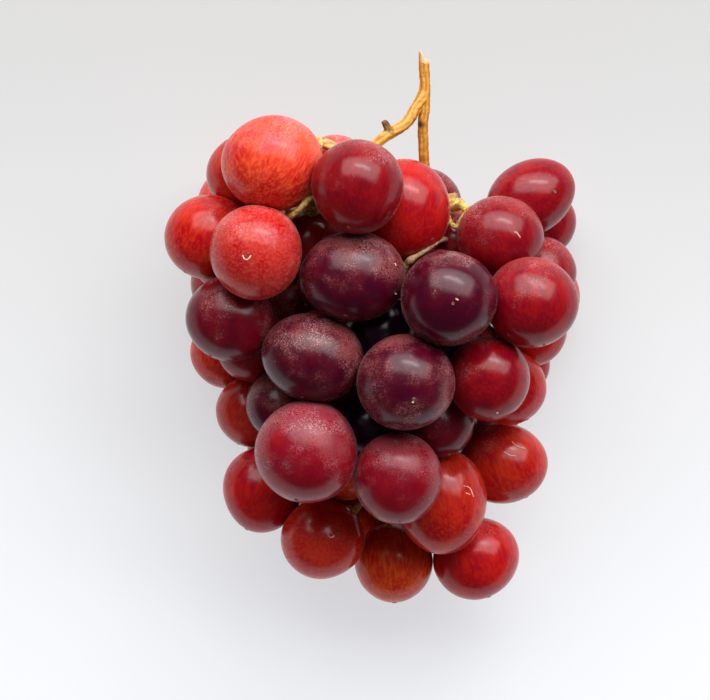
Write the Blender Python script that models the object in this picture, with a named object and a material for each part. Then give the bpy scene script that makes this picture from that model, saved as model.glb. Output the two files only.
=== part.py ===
"""A bunch of large red table grapes, lying down with its cut stem towards +Y.

The side that is looked at faces up. The grapes that it shows are placed by the sizes and places read from the
photograph, front to back: each deeper grape lies as high as the grapes in front of it allow. The grapes that
they hide are drawn from one seed and settled under them. The stem is grown afterwards through the gaps that
the grapes leave: a peduncle, a rachis, its laterals, and a pedicel to every grape.

The script works in millimetres and turns them into metres where it makes the meshes.
"""

import heapq
import itertools
import math

import bmesh
import bpy
import numpy as np
from mathutils import Matrix
from mathutils import Vector

MM = 0.001

# How the grapes press on each other and on the table
PRESS = 1.0
TOUCH = 0.6
SINK = 0.8
FACET_SWELL = 1.045
LOWERING_STEP = 0.25

# The middle of the whole bunch's box, stem included, which the origin lies under
BUNCH_MIDDLE = (1.00, 7.22)

# The front layer: place across and along the bunch, length, breadth, turn in degrees, greatest height
FRONT = [
    (22.5, 17.0, 27.0, 26.5, 0, 75.0),
    (-6.0, 22.0, 29.5, 25.5, 0, 75.0),
    (9.0, -8.0, 27.5, 27.0, 0, 74.0),
    (-3.0, 48.0, 26.5, 25.5, 90, 74.0),
    (-33.0, 28.5, 26.5, 26.0, 90, 72.0),
    (-19.0, -27.5, 29.0, 29.0, 0, 60.0),
    (7.5, -35.0, 26.0, 25.0, 90, 60.0),
    (-16.0, -1.0, 29.0, 25.0, -15, 66.0),
    (-28.5, 53.5, 28.5, 27.0, 0, 66.0),
    (46.0, 16.0, 26.0, 25.5, 0, 66.0),
    (33.0, -7.0, 24.0, 23.5, 90, 62.0),
    (-39.5, 10.0, 25.0, 24.5, 0, 58.0),
    (9.5, 42.0, 29.0, 25.5, 90, 60.0),
    (36.0, 33.5, 24.5, 23.0, 0, 60.0),
    (21.0, -42.0, 30.0, 25.5, 90, 45.0),
    (-47.0, 34.5, 24.5, 24.0, 0, 50.0),
    (46.0, 46.0, 26.5, 21.0, 30, 46.0),
    (37.0, -30.0, 26.0, 23.0, 0, 40.0),
    (-31.5, -39.0, 24.5, 22.5, 90, 32.0),
    (-14.5, -52.5, 24.0, 23.0, 0, 22.0),
    (31.0, -57.5, 25.0, 23.5, 20, 16.0),
    (7.0, -60.0, 23.0, 22.5, 90, 12.0),
]

# The second layer, which the front layer partly covers
SECOND = [
    (-26.0, -14.5, 20.5, 20.5, 0, 50.0),
    (-8.0, -30.0, 20.5, 20.5, 0, 30.0),
    (-36.0, 52.0, 23.0, 22.5, 0, 50.0),
    (-11.0, 53.0, 21.0, 21.0, 0, 45.0),
    (-19.0, 31.5, 21.0, 21.0, 0, 50.0),
    (-33.5, 4.0, 21.0, 21.0, 0, 50.0),
    (40.0, -9.5, 21.5, 21.5, 0, 50.0),
    (49.0, 23.0, 20.5, 20.5, 0, 50.0),
    (45.0, 7.5, 20.5, 20.5, 0, 50.0),
    (15.0, 44.5, 20.5, 20.5, 0, 25.0),
    (-33.0, -15.5, 21.0, 21.0, 0, 40.0),
    (-40.5, 0.5, 21.0, 21.0, 0, 10.0),
    (49.0, 38.5, 20.5, 20.5, 0, 12.0),
]

# The deep grapes that show dark between them
DEEP = [
    (41.5, -2.0, 19.0, 19.0, 0, 30.0),
    (-23.0, 12.5, 20.5, 20.5, 0, 45.0),
    (22.5, 33.0, 19.0, 19.0, 0, 50.0),
    (-31.0, -6.5, 19.0, 19.0, 0, 30.0),
    (3.5, 6.0, 22.0, 22.0, 0, 50.0),
    (22.5, 3.0, 21.0, 21.0, 0, 50.0),
    (20.0, -19.5, 20.0, 20.0, 0, 50.0),
    (0.5, -18.5, 20.0, 20.0, 0, 45.0),
    (2.0, -46.5, 17.5, 17.5, 0, 28.0),
    (-10.5, -41.5, 19.0, 19.0, 0, 12.0),
    (-41.5, 27.5, 20.5, 20.5, 0, 35.0),
]

# The hidden grapes: places tried on a net, how far they may push others, how closely they lean on three
HIDDEN_NET = 3.0
HIDDEN_FLOOR = 9.0
HIDDEN_DIAMETER = (20.5, 24.5)
HIDDEN_PUSH = 1.5
HIDDEN_LEAN = 9.0
SEED = 5
COVER_POINTS = 12
COVER_DEPTH = 4.0

# Settling: how far each grape may shift in plan, how near ones close up, how low ones sink
SETTLE_STEPS = 500
READING_PLAY = 0.8
HIDDEN_PLAY = 2.5
CLOSE_REACH = 3.0
CLOSE_PULL = 0.12
DRIFT_INWARD = 0.05
DRIFT_DOWN = 0.08
LOW_HEIGHT = 24.0

# The woody parts that show, and the rachis: places across, along and above the table, and end radii
PEDUNCLE = [(15.0, 85.0, 49.0), (15.3, 72.0, 48.5), (14.7, 65.6, 48.0), (15.0, 57.0, 46.0),
            (15.4, 50.0, 42.5), (14.5, 42.0, 39.5)]
RACHIS = [(14.5, 42.0, 39.5), (8.5, 32.0, 38.0), (3.0, 21.0, 38.0), (1.0, 8.0, 37.0), (1.0, -8.0, 35.0),
          (4.0, -20.0, 31.0), (5.5, -32.0, 26.0), (4.5, -44.0, 17.0)]
SHOULDER = [(15.2, 74.0, 48.6), (12.4, 69.8, 50.0), (11.3, 67.5, 50.5), (9.3, 65.3, 51.5), (6.8, 63.6, 53.0),
            (4.0, 61.9, 54.5), (-1.5, 57.8, 60.5), (-8.0, 56.0, 63.5), (-11.5, 58.0, 62.5),
            (-14.4, 59.3, 62.0)]
SHOULDER_STUB = [(5.4, 63.0, 53.7), (4.5, 64.8, 54.6), (3.6, 66.4, 55.0)]
MIDDLE_LATERAL = [(-8.0, 56.0, 63.5), (-13.0, 50.5, 60.5), (-16.7, 46.3, 57.0), (-17.8, 43.2, 55.5),
                  (-20.2, 40.8, 55.0), (-23.5, 38.4, 55.5)]
MIDDLE_STUB = [(-17.8, 43.2, 55.5), (-16.4, 42.0, 56.2), (-15.2, 41.2, 56.4)]
EMPTY_RECEPTACLE = [(15.2, 46.5, 41.0), (18.5, 43.4, 39.4), (21.5, 42.8, 39.2), (24.2, 42.4, 39.8)]
RIGHT_PEDICEL = [(13.4, 39.6, 39.2), (18.6, 37.6, 40.0), (22.3, 37.6, 42.0), (24.6, 37.2, 44.5),
                 (26.0, 39.8, 48.0), (27.4, 41.2, 51.0)]
TAN_LATERAL = [(10.6, 35.6, 38.5), (16.2, 34.4, 40.5), (18.9, 32.5, 44.0), (17.2, 30.3, 46.0),
               (13.8, 28.3, 47.0), (10.2, 26.8, 47.0), (9.0, 22.6, 47.5)]
# Each line of the stem: its points, radius at its start and at its end, sides
LINES = [
    (PEDUNCLE + RACHIS[1:], 1.4, 0.9, 8),
    (SHOULDER, 1.5, 1.4, 7),
    (SHOULDER_STUB, 1.2, 0.7, 6),
    (MIDDLE_LATERAL, 1.0, 0.8, 6),
    (MIDDLE_STUB, 0.8, 0.6, 6),
    (EMPTY_RECEPTACLE, 0.9, 2.0, 7),
    (RIGHT_PEDICEL, 0.8, 1.1, 6),
    (TAN_LATERAL, 1.0, 0.7, 6),
]
LINE_SPACING = 3.0
RACHIS_ROOM = 4.2
STEM_GAP = 0.45
BEND_STEPS = 80
BEND_SPARE = 0.1

# The pedicels: the net on which their ways are found, their radii, and their gap to the grape they carry
WAY_NET = 1.25
NET_MARGIN = 14.0
NET_FLOOR = 3.0
WAY_ROOM = 0.6 + STEM_GAP
WAY_SKIP = 4
IN_VIEW_COST = 4.0
FROM_ABOVE_COST = 8.0
SMOOTHINGS = 10
SMOOTH_ROOM = 1.35
PEDICEL_RADIUS = 0.75
PEDICEL_SIDES = 5
THINNEST_RADIUS = 0.3
TIP_REACH = 2.8
TIP_GAP = 0.4
NECK_LENGTH = 0.9
NECK_RADIUS = 1.0
TIP_RADIUS = 1.2


def main():
    for old in list(bpy.data.objects):
        bpy.data.objects.remove(old)
    grapes = placed_grapes()
    skin = material("grape_skin", (0.165, 0.022, 0.028, 1.0), 0.36)
    wood = material("stem_wood", (0.42, 0.22, 0.045, 1.0), 0.62)
    for made in (make_grapes(grapes, skin), make_stem(grapes, wood)):
        made.data.transform(Matrix.Translation((-BUNCH_MIDDLE[0] * MM, -BUNCH_MIDDLE[1] * MM, 0)))


def reach(half, axis, direction):
    """How far ellipsoids of the given half length and half breadth reach in a direction."""
    along = np.sum(axis * direction, axis=-1)
    return np.sqrt(half[..., 0] ** 2 * along ** 2 + half[..., 1] ** 2 * (1 - along ** 2))


def gaps(centre, half, axis):
    """The gap between every two grapes, negative where they press, and the direction between them."""
    apart = centre[None, :, :] - centre[:, None, :]
    distance = np.linalg.norm(apart, axis=2) + np.eye(len(centre)) * 1e6
    direction = apart / distance[..., None]
    own = reach(half[:, None, :], axis[:, None, :], direction)
    other = reach(half[None, :, :], axis[None, :, :], direction)
    return distance - own - other, direction


def placed_grapes():
    """Centres, half sizes and long axes of all the grapes."""
    rows = FRONT + SECOND + DEEP
    centre = np.array([(x, y, top) for x, y, _, _, _, top in rows])
    half = np.array([(length / 2, breadth / 2) for _, _, length, breadth, _, _ in rows])
    turn = np.radians([row[4] for row in rows])
    axis = np.stack([np.cos(turn), np.sin(turn), np.zeros(len(rows))], axis=1)
    for i in range(1, len(rows)):
        lower_until_clear(i, centre, half, axis)
    fixed = np.ones(len(rows), bool)
    for place, diameter in hidden_places(centre, half):
        centre = np.vstack([centre, place])
        half = np.vstack([half, (diameter / 2, diameter / 2)])
        axis = np.vstack([axis, (1.0, 0.0, 0.0)])
        fixed = np.append(fixed, False)
    settle(centre, half, axis, fixed)
    swell_to_touch(centre, half, axis)
    return centre.round(2), half.round(2), axis


def lower_until_clear(i, centre, half, axis):
    """Lowers a grape until it only presses on the grapes in front of it."""
    while centre[i, 2] > half[i, 1] - SINK:
        gap, _ = gaps(centre[:i + 1], half[:i + 1], axis[:i + 1])
        if gap[i, :i].min() >= -PRESS:
            return
        centre[i, 2] -= LOWERING_STEP


def hidden_places(centre, half):
    """Places for the hidden grapes: each in turn goes where it best leans on three others or the table."""
    random = np.random.default_rng(SEED)
    low = centre.min(axis=0)
    high = centre.max(axis=0)
    nets = [np.arange(a, b, HIDDEN_NET) for a, b in zip((low[0], low[1], HIDDEN_FLOOR), high)]
    net = np.stack(np.meshgrid(*nets, indexing="ij"), axis=-1).reshape(-1, 3)
    net = net[is_covered(net, centre, half)]
    trunk = smooth_line(RACHIS, LINE_SPACING)
    room = np.linalg.norm(net[:, None, :] - trunk[None, :, :], axis=2).min(axis=1) - RACHIS_ROOM
    near = np.linalg.norm(net[:, None, :] - centre[None, :, :], axis=2) - half.mean(axis=1)
    near = np.concatenate([near, net[:, 2:] + SINK], axis=1)
    places = []
    while True:
        radius = random.uniform(*HIDDEN_DIAMETER) / 2
        gap = np.sort(near - radius, axis=1)
        fits = (gap[:, 0] > -PRESS - HIDDEN_PUSH) & (room > radius)
        lean = np.where(fits, gap[:, :3].sum(axis=1), np.inf)
        best = int(lean.argmin())
        if lean[best] > HIDDEN_LEAN:
            return places
        places.append((net[best], 2 * radius))
        away = np.linalg.norm(net - net[best], axis=1) - radius
        near = np.concatenate([near, away[:, None]], axis=1)


def is_covered(places, centre, half):
    """True where grapes above hide a grape at that place from straight above."""
    around = np.linspace(0, 2 * math.pi, COVER_POINTS, endpoint=False)
    rim = 0.45 * HIDDEN_DIAMETER[0] * np.stack([np.cos(around), np.sin(around)], axis=1)
    covered = np.ones(len(places), bool)
    for x, y in rim:
        away = np.linalg.norm(places[:, None, :2] + (x, y) - centre[None, :, :2], axis=2)
        over = (away < half.mean(axis=1)) & (centre[None, :, 2] > places[:, None, 2] + COVER_DEPTH)
        covered &= over.any(axis=1)
    return covered


def settle(centre, half, axis, fixed):
    """Pushes overlapping grapes apart, closes small gaps, and keeps the rachis and the table clear."""
    trunk = smooth_line(RACHIS, LINE_SPACING)
    home = centre[:, :2].copy()
    play = np.where(fixed, READING_PLAY, HIDDEN_PLAY)[:, None]
    rows = np.arange(len(centre))
    for _ in range(SETTLE_STEPS):
        gap, direction = gaps(centre, half, axis)
        pressed = np.clip(-PRESS - gap, 0, None)
        parted = np.where(gap < CLOSE_REACH - PRESS, np.clip(gap + PRESS, 0, None), 0)
        move = np.einsum("ij,ijk->ik", CLOSE_PULL * parted - 0.5 * pressed, direction)
        away = centre[:, None, :] - trunk[None, :, :]
        distance = np.linalg.norm(away, axis=2)
        closest = distance.argmin(axis=1)
        outward = away[rows, closest] / distance[rows, closest][:, None]
        inside = np.clip(half[:, 0] + RACHIS_ROOM - distance[rows, closest], 0, None)
        move += 0.5 * outward * inside[:, None]
        low = centre[:, 2] < LOW_HEIGHT
        drift = np.where(low[:, None], (0, 0, -DRIFT_DOWN), -DRIFT_INWARD * outward)
        move += np.where(fixed[:, None], 0, drift)
        move[fixed] *= 0.5
        centre += np.clip(move, -1.0, 1.0)
        centre[:, :2] = home + np.clip(centre[:, :2] - home, -play, play)
        centre[:, 2] = np.maximum(centre[:, 2], half[:, 1] - SINK)


def swell_to_touch(centre, half, axis):
    """Lets the two grapes nearest to each other across every parted group swell until they press."""
    while True:
        groups = touching_groups(centre, half, axis)
        if len(groups) == 1:
            return
        gap, _ = gaps(centre, half, axis)
        inner = np.array(groups[0])
        outer = np.array(sum(groups[1:], []))
        across = gap[np.ix_(outer, inner)]
        i, j = np.unravel_index(across.argmin(), across.shape)
        growth = (across[i, j] + TOUCH + 0.02) / 2
        half[outer[i]] += growth
        half[inner[j]] += growth


def smooth_line(points, spacing):
    """Points about a spacing apart on a smooth curve through the given ones."""
    points = np.array(points, float)
    padded = np.vstack([2 * points[0] - points[1], points, 2 * points[-1] - points[-2]])
    line = []
    for a, b, c, d in zip(padded, padded[1:], padded[2:], padded[3:]):
        count = max(2, int(np.linalg.norm(c - b) / spacing))
        for t in np.arange(count) / count:
            line.append(0.5 * (2 * b + (c - a) * t + (2 * a - 5 * b + 4 * c - d) * t ** 2
                               + (3 * b - a - 3 * c + d) * t ** 3))
    return np.array(line + [points[-1]])


def touching_groups(centre, half, axis):
    """Groups of grapes that press on each other, the largest first."""
    gap, _ = gaps(centre, half, axis)
    left = set(range(len(centre)))
    groups = []
    while left:
        group = {min(left)}
        edge = set(group)
        while edge:
            edge = {j for i in edge for j in left if gap[i, j] < -TOUCH} - group
            group |= edge
        left -= group
        groups.append(sorted(group))
    return sorted(groups, key=len, reverse=True)


def material(name, colour, roughness):
    """A Principled material of one colour."""
    made = bpy.data.materials.new(name)
    made.use_nodes = True
    shader = made.node_tree.nodes["Principled BSDF"]
    shader.inputs["Base Color"].default_value = colour
    shader.inputs["Roughness"].default_value = roughness
    made.diffuse_color = colour
    return made


def make_grapes(grapes, skin):
    """Every grape as a faceted ellipsoid, flat where it lies on the table, all fused into one solid."""
    random = np.random.default_rng(SEED)
    pieces = []
    for place, half, axis in zip(*grapes):
        mesh = bmesh.new()
        bmesh.ops.create_icosphere(mesh, subdivisions=2, radius=1.0)
        spin = Matrix.Rotation(random.uniform(0, 2 * math.pi), 4, "X")
        long, broad = half * FACET_SWELL * MM
        size = Matrix.Diagonal((long, broad, broad, 1.0))
        turn = Vector(axis).to_track_quat("X", "Z").to_matrix().to_4x4()
        move = Matrix.Translation(Vector(place) * MM)
        bmesh.ops.transform(mesh, matrix=move @ turn @ size @ spin, verts=mesh.verts)
        lay_on_table(mesh)
        pieces.append(new_object("grape", mesh))
    return fuse("grapes", pieces, skin)


def lay_on_table(mesh):
    """Cuts off what reaches below the table and closes the cut with a flat."""
    everything = mesh.verts[:] + mesh.edges[:] + mesh.faces[:]
    cut = bmesh.ops.bisect_plane(
        mesh, geom=everything, plane_co=(0, 0, 0), plane_no=(0, 0, 1), clear_inner=True
    )
    rim = [item for item in cut["geom_cut"] if isinstance(item, bmesh.types.BMEdge)]
    if rim:
        bmesh.ops.contextual_create(mesh, geom=rim)


def new_object(name, mesh):
    data = bpy.data.meshes.new(name)
    mesh.to_mesh(data)
    mesh.free()
    made = bpy.data.objects.new(name, data)
    bpy.context.scene.collection.objects.link(made)
    return made


def fuse(name, pieces, finish):
    """One Boolean union of all the pieces, applied; the pieces are then removed."""
    first = pieces[0]
    others = bpy.data.collections.new(name + "_parts")
    bpy.context.scene.collection.children.link(others)
    for piece in pieces[1:]:
        bpy.context.scene.collection.objects.unlink(piece)
        others.objects.link(piece)
    union = first.modifiers.new("union", "BOOLEAN")
    union.operation = "UNION"
    union.solver = "EXACT"
    union.operand_type = "COLLECTION"
    union.collection = others
    evaluated = first.evaluated_get(bpy.context.evaluated_depsgraph_get())
    data = bpy.data.meshes.new_from_object(evaluated)
    keep_outer_shell(data)
    for piece in pieces:
        bpy.data.objects.remove(piece)
    bpy.data.collections.remove(others)
    data.name = name
    data.materials.clear()
    data.materials.append(finish)
    data.shade_smooth()
    fused = bpy.data.objects.new(name, data)
    bpy.context.scene.collection.objects.link(fused)
    return fused


def keep_outer_shell(data):
    """Drops scraps, and the walls of any hollow that fusing sealed, which fills it."""
    mesh = bmesh.new()
    mesh.from_mesh(data)
    left = set(mesh.verts)
    shells = []
    while left:
        shell = {left.pop()}
        edge = set(shell)
        while edge:
            edge = {link.other_vert(vert) for vert in edge for link in vert.link_edges} - shell
            shell |= edge
        left -= shell
        shells.append(shell)
    shells.sort(key=len)
    for shell in shells[:-1]:
        bmesh.ops.delete(mesh, geom=list(shell), context="VERTS")
    mesh.to_mesh(data)
    mesh.free()


def room_around(points, grapes, leave_out=None):
    """Distance from each point to the nearest grape, with room for its facets."""
    centre, half, axis = grapes
    away = points[:, None, :] - centre[None, :, :]
    distance = np.maximum(np.linalg.norm(away, axis=2), 1e-6)
    room = distance - FACET_SWELL * reach(half[None], axis[None], away / distance[..., None])
    if leave_out is not None:
        room[:, leave_out] = np.inf
    return room.min(axis=1)


def bent_clear(points, radii, grapes):
    """Moves the points of a line off the grapes that it would cross, and spreads each move along the line."""
    centre, half, axis = grapes
    moved = np.zeros_like(points)
    for step in range(BEND_STEPS):
        away = (points + moved)[:, None, :] - centre[None, :, :]
        distance = np.maximum(np.linalg.norm(away, axis=2), 1e-6)
        direction = away / distance[..., None]
        room = distance - FACET_SWELL * reach(half[None], axis[None], direction)
        short = np.clip(radii[:, None] + STEM_GAP + BEND_SPARE - room, 0, None)
        moved += (direction * short[..., None]).sum(axis=1) * 0.5
        if step < BEND_STEPS * 0.75:
            moved[1:-1] = 0.6 * moved[1:-1] + 0.2 * (moved[:-2] + moved[2:])
    return points + moved


class Tree:
    """Points of the stem, each with the point that it grows from and its radius."""

    def __init__(self):
        self.points = []
        self.parent = []
        self.radius = []

    def add(self, point, parent, radius):
        self.points.append(np.array(point, float))
        self.parent.append(parent)
        self.radius.append(radius)
        return len(self.points) - 1

    def nearest(self, place):
        return int(np.linalg.norm(np.array(self.points) - place, axis=1).argmin())

    def depth(self, node):
        """How many points lie between one and the root."""
        steps = 0
        while self.parent[node] is not None:
            node = self.parent[node]
            steps += 1
        return steps


def make_stem(grapes, wood):
    """The lines that are known, then a pedicel to every grape, all fused into one branching solid."""
    tree = Tree()
    lines = [(draw_line(tree, points, first, last, grapes), sides) for points, first, last, sides in LINES]
    known = len(tree.points)
    tips = grow_pedicels(tree, grapes)
    smooth_ways(tree, known, tips, grapes)
    tubes = []
    for nodes, sides in lines:
        points = [tree.points[n] for n in nodes]
        radii = [tree.radius[n] for n in nodes]
        radii[0] = radii[1]
        tubes.append(tube(points, clear_radii(points, radii, grapes), sides))
    for way, grape in pedicel_ways(tree, known, tips):
        tubes.append(pedicel(tree, way, grape, grapes))
    return fuse("stem", tubes, wood)


def draw_line(tree, points, first, last, grapes):
    """Adds a smooth line to the tree, grown from the tree's nearest point, and returns its nodes."""
    line = smooth_line(points, LINE_SPACING)
    radii = np.linspace(first, last, len(line))
    line = bent_clear(line, radii, grapes)
    nodes = [tree.nearest(line[0]) if tree.points else tree.add(line[0], None, first)]
    for point, radius in zip(line[1:], radii[1:]):
        nodes.append(tree.add(point, nodes[-1], radius))
    return nodes


def clear_radii(points, radii, grapes):
    """Radii cut down where a grape is near."""
    room = room_around(np.array(points), grapes)
    return np.minimum(radii, np.maximum(room - STEM_GAP, THINNEST_RADIUS))


class Net:
    """Places in and round the bunch, at equal steps, on which clear ways are found."""

    def __init__(self, grapes):
        centre, _, _ = grapes
        self.low = np.append(centre[:, :2].min(axis=0) - NET_MARGIN, NET_FLOOR)
        high = centre.max(axis=0) + (NET_MARGIN, NET_MARGIN, 0)
        self.shape = np.ceil((high - self.low) / WAY_NET).astype(int)
        steps = [low + WAY_NET * np.arange(count) for low, count in zip(self.low, self.shape)]
        plan = np.stack(np.meshgrid(steps[0], steps[1], indexing="ij"), axis=-1).reshape(-1, 2)
        self.is_open = np.zeros(self.shape, bool)
        self.cost = np.ones(self.shape)
        roof = roof_over(plan, grapes).reshape(self.shape[:2])
        for k, height in enumerate(steps[2]):
            layer = np.column_stack([plan, np.full(len(plan), height)])
            self.is_open[:, :, k] = (room_around(layer, grapes) > WAY_ROOM).reshape(self.shape[:2])
            self.cost[:, :, k][roof <= height] = IN_VIEW_COST
        self.is_open[[0, -1]] = False
        self.is_open[:, [0, -1]] = False
        self.is_open[:, :, [0, -1]] = False

    def cell(self, point):
        steps = np.clip(np.round((point - self.low) / WAY_NET).astype(int), 1, self.shape - 2)
        return int(np.ravel_multi_index(tuple(steps), self.shape))

    def place(self, cells):
        return self.low + WAY_NET * np.stack(np.unravel_index(cells, self.shape), axis=-1)

    def neighbours(self):
        """Steps to the 26 cells around one, in numbers of cells, and the length of each."""
        around = [step for step in itertools.product((-1, 0, 1), repeat=3) if any(step)]
        return [
            (int((i * self.shape[1] + j) * self.shape[2] + k), WAY_NET * math.hypot(i, j, k))
            for i, j, k in around
        ]


def roof_over(plan, grapes):
    """The height of the highest grape's middle over each place in plan, and 0 where there is none."""
    roof = np.zeros(len(plan))
    for place, half in zip(grapes[0], grapes[1]):
        inside = np.linalg.norm(plan - place[:2], axis=1) < half.mean() - PRESS
        roof = np.where(inside, np.maximum(roof, place[2]), roof)
    return roof


def grow_pedicels(tree, grapes):
    """Adds the shortest clear way from the stem to every grape, and returns each way's tip and its grape."""
    centre, half, axis = grapes
    net = Net(grapes)
    roots = {}
    for node, point in enumerate(tree.points):
        if point[1] < centre[:, 1].max() + half.max():
            roots.setdefault(net.cell(point), node)
    length, came_from = shortest_ways(roots, net)
    cells = np.array(sorted(length))
    places = net.place(cells)
    lengths = np.array([length[cell] for cell in cells])
    grown = dict(roots)
    tips = []
    for i in range(len(centre)):
        away = places - centre[i]
        distance = np.linalg.norm(away, axis=1)
        gap = distance - FACET_SWELL * reach(half[i], axis[i], away / distance[:, None])
        above = np.clip(away[:, 2] / half[i, 1], 0, None)
        effort = np.where(gap < TIP_REACH, lengths + FROM_ABOVE_COST * above + gap, np.inf)
        way = [int(cells[effort.argmin()])]
        while way[-1] not in grown:
            way.append(came_from[way[-1]])
        node = grown[way[-1]]
        for cell in way[-2::-1]:
            node = tree.add(net.place(cell), node, PEDICEL_RADIUS)
            grown[cell] = node
        inward = centre[i] - tree.points[node]
        inward /= np.linalg.norm(inward)
        skin = centre[i] - inward * FACET_SWELL * reach(half[i], axis[i], inward)
        tips.append((tree.add(skin - inward * TIP_GAP, node, TIP_RADIUS), i))
    return tips


def shortest_ways(roots, net):
    """Lengths of the shortest ways from the roots through open cells, and the cell that each comes from."""
    neighbours = net.neighbours()
    is_open = net.is_open.ravel().tolist()
    cost = net.cost.ravel().tolist()
    length = {cell: 0.0 for cell in roots}
    came_from = {}
    heap = [(0.0, cell) for cell in roots]
    heapq.heapify(heap)
    while heap:
        so_far, cell = heapq.heappop(heap)
        if so_far > length[cell]:
            continue
        for offset, size in neighbours:
            other = cell + offset
            if not is_open[other]:
                continue
            total = so_far + size * cost[other]
            if total < length.get(other, math.inf):
                length[other] = total
                came_from[other] = cell
                heapq.heappush(heap, (total, other))
    return length, came_from


def smooth_ways(tree, known, tips, grapes):
    """Evens out the steps of the net, where the grapes leave room for it."""
    ends = {tip for tip, _ in tips}
    movable = [node for node in range(known, len(tree.points)) if node not in ends]
    children = [[] for _ in tree.points]
    for node, parent in enumerate(tree.parent):
        if parent is not None:
            children[parent].append(node)
    for _ in range(SMOOTHINGS):
        points = np.array(tree.points)
        wanted = points.copy()
        for node in movable:
            ahead = points[children[node]].mean(axis=0)
            wanted[node] = 0.5 * points[node] + 0.25 * (points[tree.parent[node]] + ahead)
        better = room_around(wanted, grapes) >= np.minimum(room_around(points, grapes), SMOOTH_ROOM)
        for node in movable:
            if better[node]:
                tree.points[node] = wanted[node]


def pedicel_ways(tree, known, tips):
    """Each pedicel from where it leaves the rest of the stem, the longest first, with points left out."""
    used = set(range(known))
    parents = [parent for parent in tree.parent if parent is not None]
    children = np.bincount(parents, minlength=len(tree.points))
    for tip, grape in sorted(tips, key=lambda pair: -tree.depth(pair[0])):
        way = [tip]
        while way[-1] not in used:
            way.append(tree.parent[way[-1]])
        used.update(way)
        way.reverse()
        inner = [node for i, node in enumerate(way[1:-1], 1) if i % WAY_SKIP == 0 or children[node] > 1]
        yield [way[0]] + inner + [way[-1]], grape


def pedicel(tree, way, grape, grapes):
    """The tube of one pedicel or lateral, ending in a small swollen receptacle at its grape."""
    points = [tree.points[node] for node in way]
    ahead = points[-1] - points[-2]
    points.insert(-1, points[-1] - ahead / np.linalg.norm(ahead) * NECK_LENGTH)
    radii = list(clear_radii(points[:-2], PEDICEL_RADIUS, grapes))
    room = room_around(np.array(points[-2:]), grapes, leave_out=grape) - STEM_GAP
    radii += list(np.clip((NECK_RADIUS, TIP_RADIUS), THINNEST_RADIUS, np.maximum(room, THINNEST_RADIUS)))
    return tube(points, radii, PEDICEL_SIDES)


def tube(points, radii, sides):
    """A closed tube through the points, its rings turned as little as possible from one to the next."""
    points = [Vector(p) * MM for p in points]
    mesh = bmesh.new()
    rings = []
    across = None
    for i, (point, radius) in enumerate(zip(points, radii)):
        ahead = (points[min(i + 1, len(points) - 1)] - points[max(i - 1, 0)]).normalized()
        if across is None:
            across = ahead.orthogonal().normalized()
        across = (across - ahead * across.dot(ahead)).normalized()
        other = ahead.cross(across)
        ring = []
        for k in range(sides):
            angle = 2 * math.pi * k / sides
            outward = across * math.cos(angle) + other * math.sin(angle)
            ring.append(mesh.verts.new(point + outward * radius * MM))
        rings.append(ring)
    for ring, following in zip(rings, rings[1:]):
        for k in range(sides):
            mesh.faces.new((ring[k], ring[(k + 1) % sides], following[(k + 1) % sides], following[k]))
    mesh.faces.new(rings[0][::-1])
    mesh.faces.new(rings[-1])
    return new_object("tube", mesh)


main()
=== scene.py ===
# %% [markdown]
# # A bunch of large red grapes
#
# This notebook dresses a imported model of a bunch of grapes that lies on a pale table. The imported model
# has two solids: `grapes`, every grape joined where it presses on the next, and `stem`, the woody part.
# Both are made of coarse facets. Here each one is replaced by finer pieces that keep its form, and every
# piece gets a material.
#
# Sizes are written in millimetres, because that is how a grape is measured, and become metres in the
# meshes.

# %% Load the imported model
import math

import bmesh
import bpy
import numpy as np
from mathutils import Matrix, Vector
from mathutils.kdtree import KDTree
from mathutils.noise import noise as value_noise


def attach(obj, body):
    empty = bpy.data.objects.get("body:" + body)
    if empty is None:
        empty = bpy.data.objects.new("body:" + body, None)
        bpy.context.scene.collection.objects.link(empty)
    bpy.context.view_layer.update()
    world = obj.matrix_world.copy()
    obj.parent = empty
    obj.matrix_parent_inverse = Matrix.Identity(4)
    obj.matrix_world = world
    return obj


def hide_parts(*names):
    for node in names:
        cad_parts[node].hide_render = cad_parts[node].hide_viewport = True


MM = 0.001
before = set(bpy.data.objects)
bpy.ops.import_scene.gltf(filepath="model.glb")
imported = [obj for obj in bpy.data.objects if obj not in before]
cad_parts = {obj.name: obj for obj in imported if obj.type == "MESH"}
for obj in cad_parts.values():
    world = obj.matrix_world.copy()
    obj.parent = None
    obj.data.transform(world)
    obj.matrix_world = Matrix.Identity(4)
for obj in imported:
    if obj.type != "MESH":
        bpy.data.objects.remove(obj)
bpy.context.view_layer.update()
print("nodes", sorted(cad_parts))

# %% [markdown]
# ## The camera
#
# The photograph was taken level at an upright bunch. The model lies down, so the same view looks straight
# down on it, with the cut stem at the top of the picture. A long lens far away keeps the far grapes as
# large as the near ones, as in the photograph. The picture shows a strip 200.6 mm wide at the middle of
# the bunch's height.

# %% Place the camera
PICTURE_MIDDLE = (-5.5, -5.4)
PICTURE_WIDTH = 200.6
MIDDLE_HEIGHT = 50.0
CAMERA_AWAY = 1800.0
SENSOR_WIDTH = 36.0


def place_camera():
    lens = bpy.data.cameras.new("camera")
    lens.sensor_width = SENSOR_WIDTH
    lens.lens = SENSOR_WIDTH * CAMERA_AWAY / PICTURE_WIDTH
    lens.clip_end = 20.0
    camera = bpy.data.objects.new("camera", lens)
    camera.location = Vector((*PICTURE_MIDDLE, MIDDLE_HEIGHT + CAMERA_AWAY)) * MM
    bpy.context.scene.collection.objects.link(camera)
    bpy.context.scene.camera = camera
    return camera


print("lens in millimetres", round(place_camera().data.lens))

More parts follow.
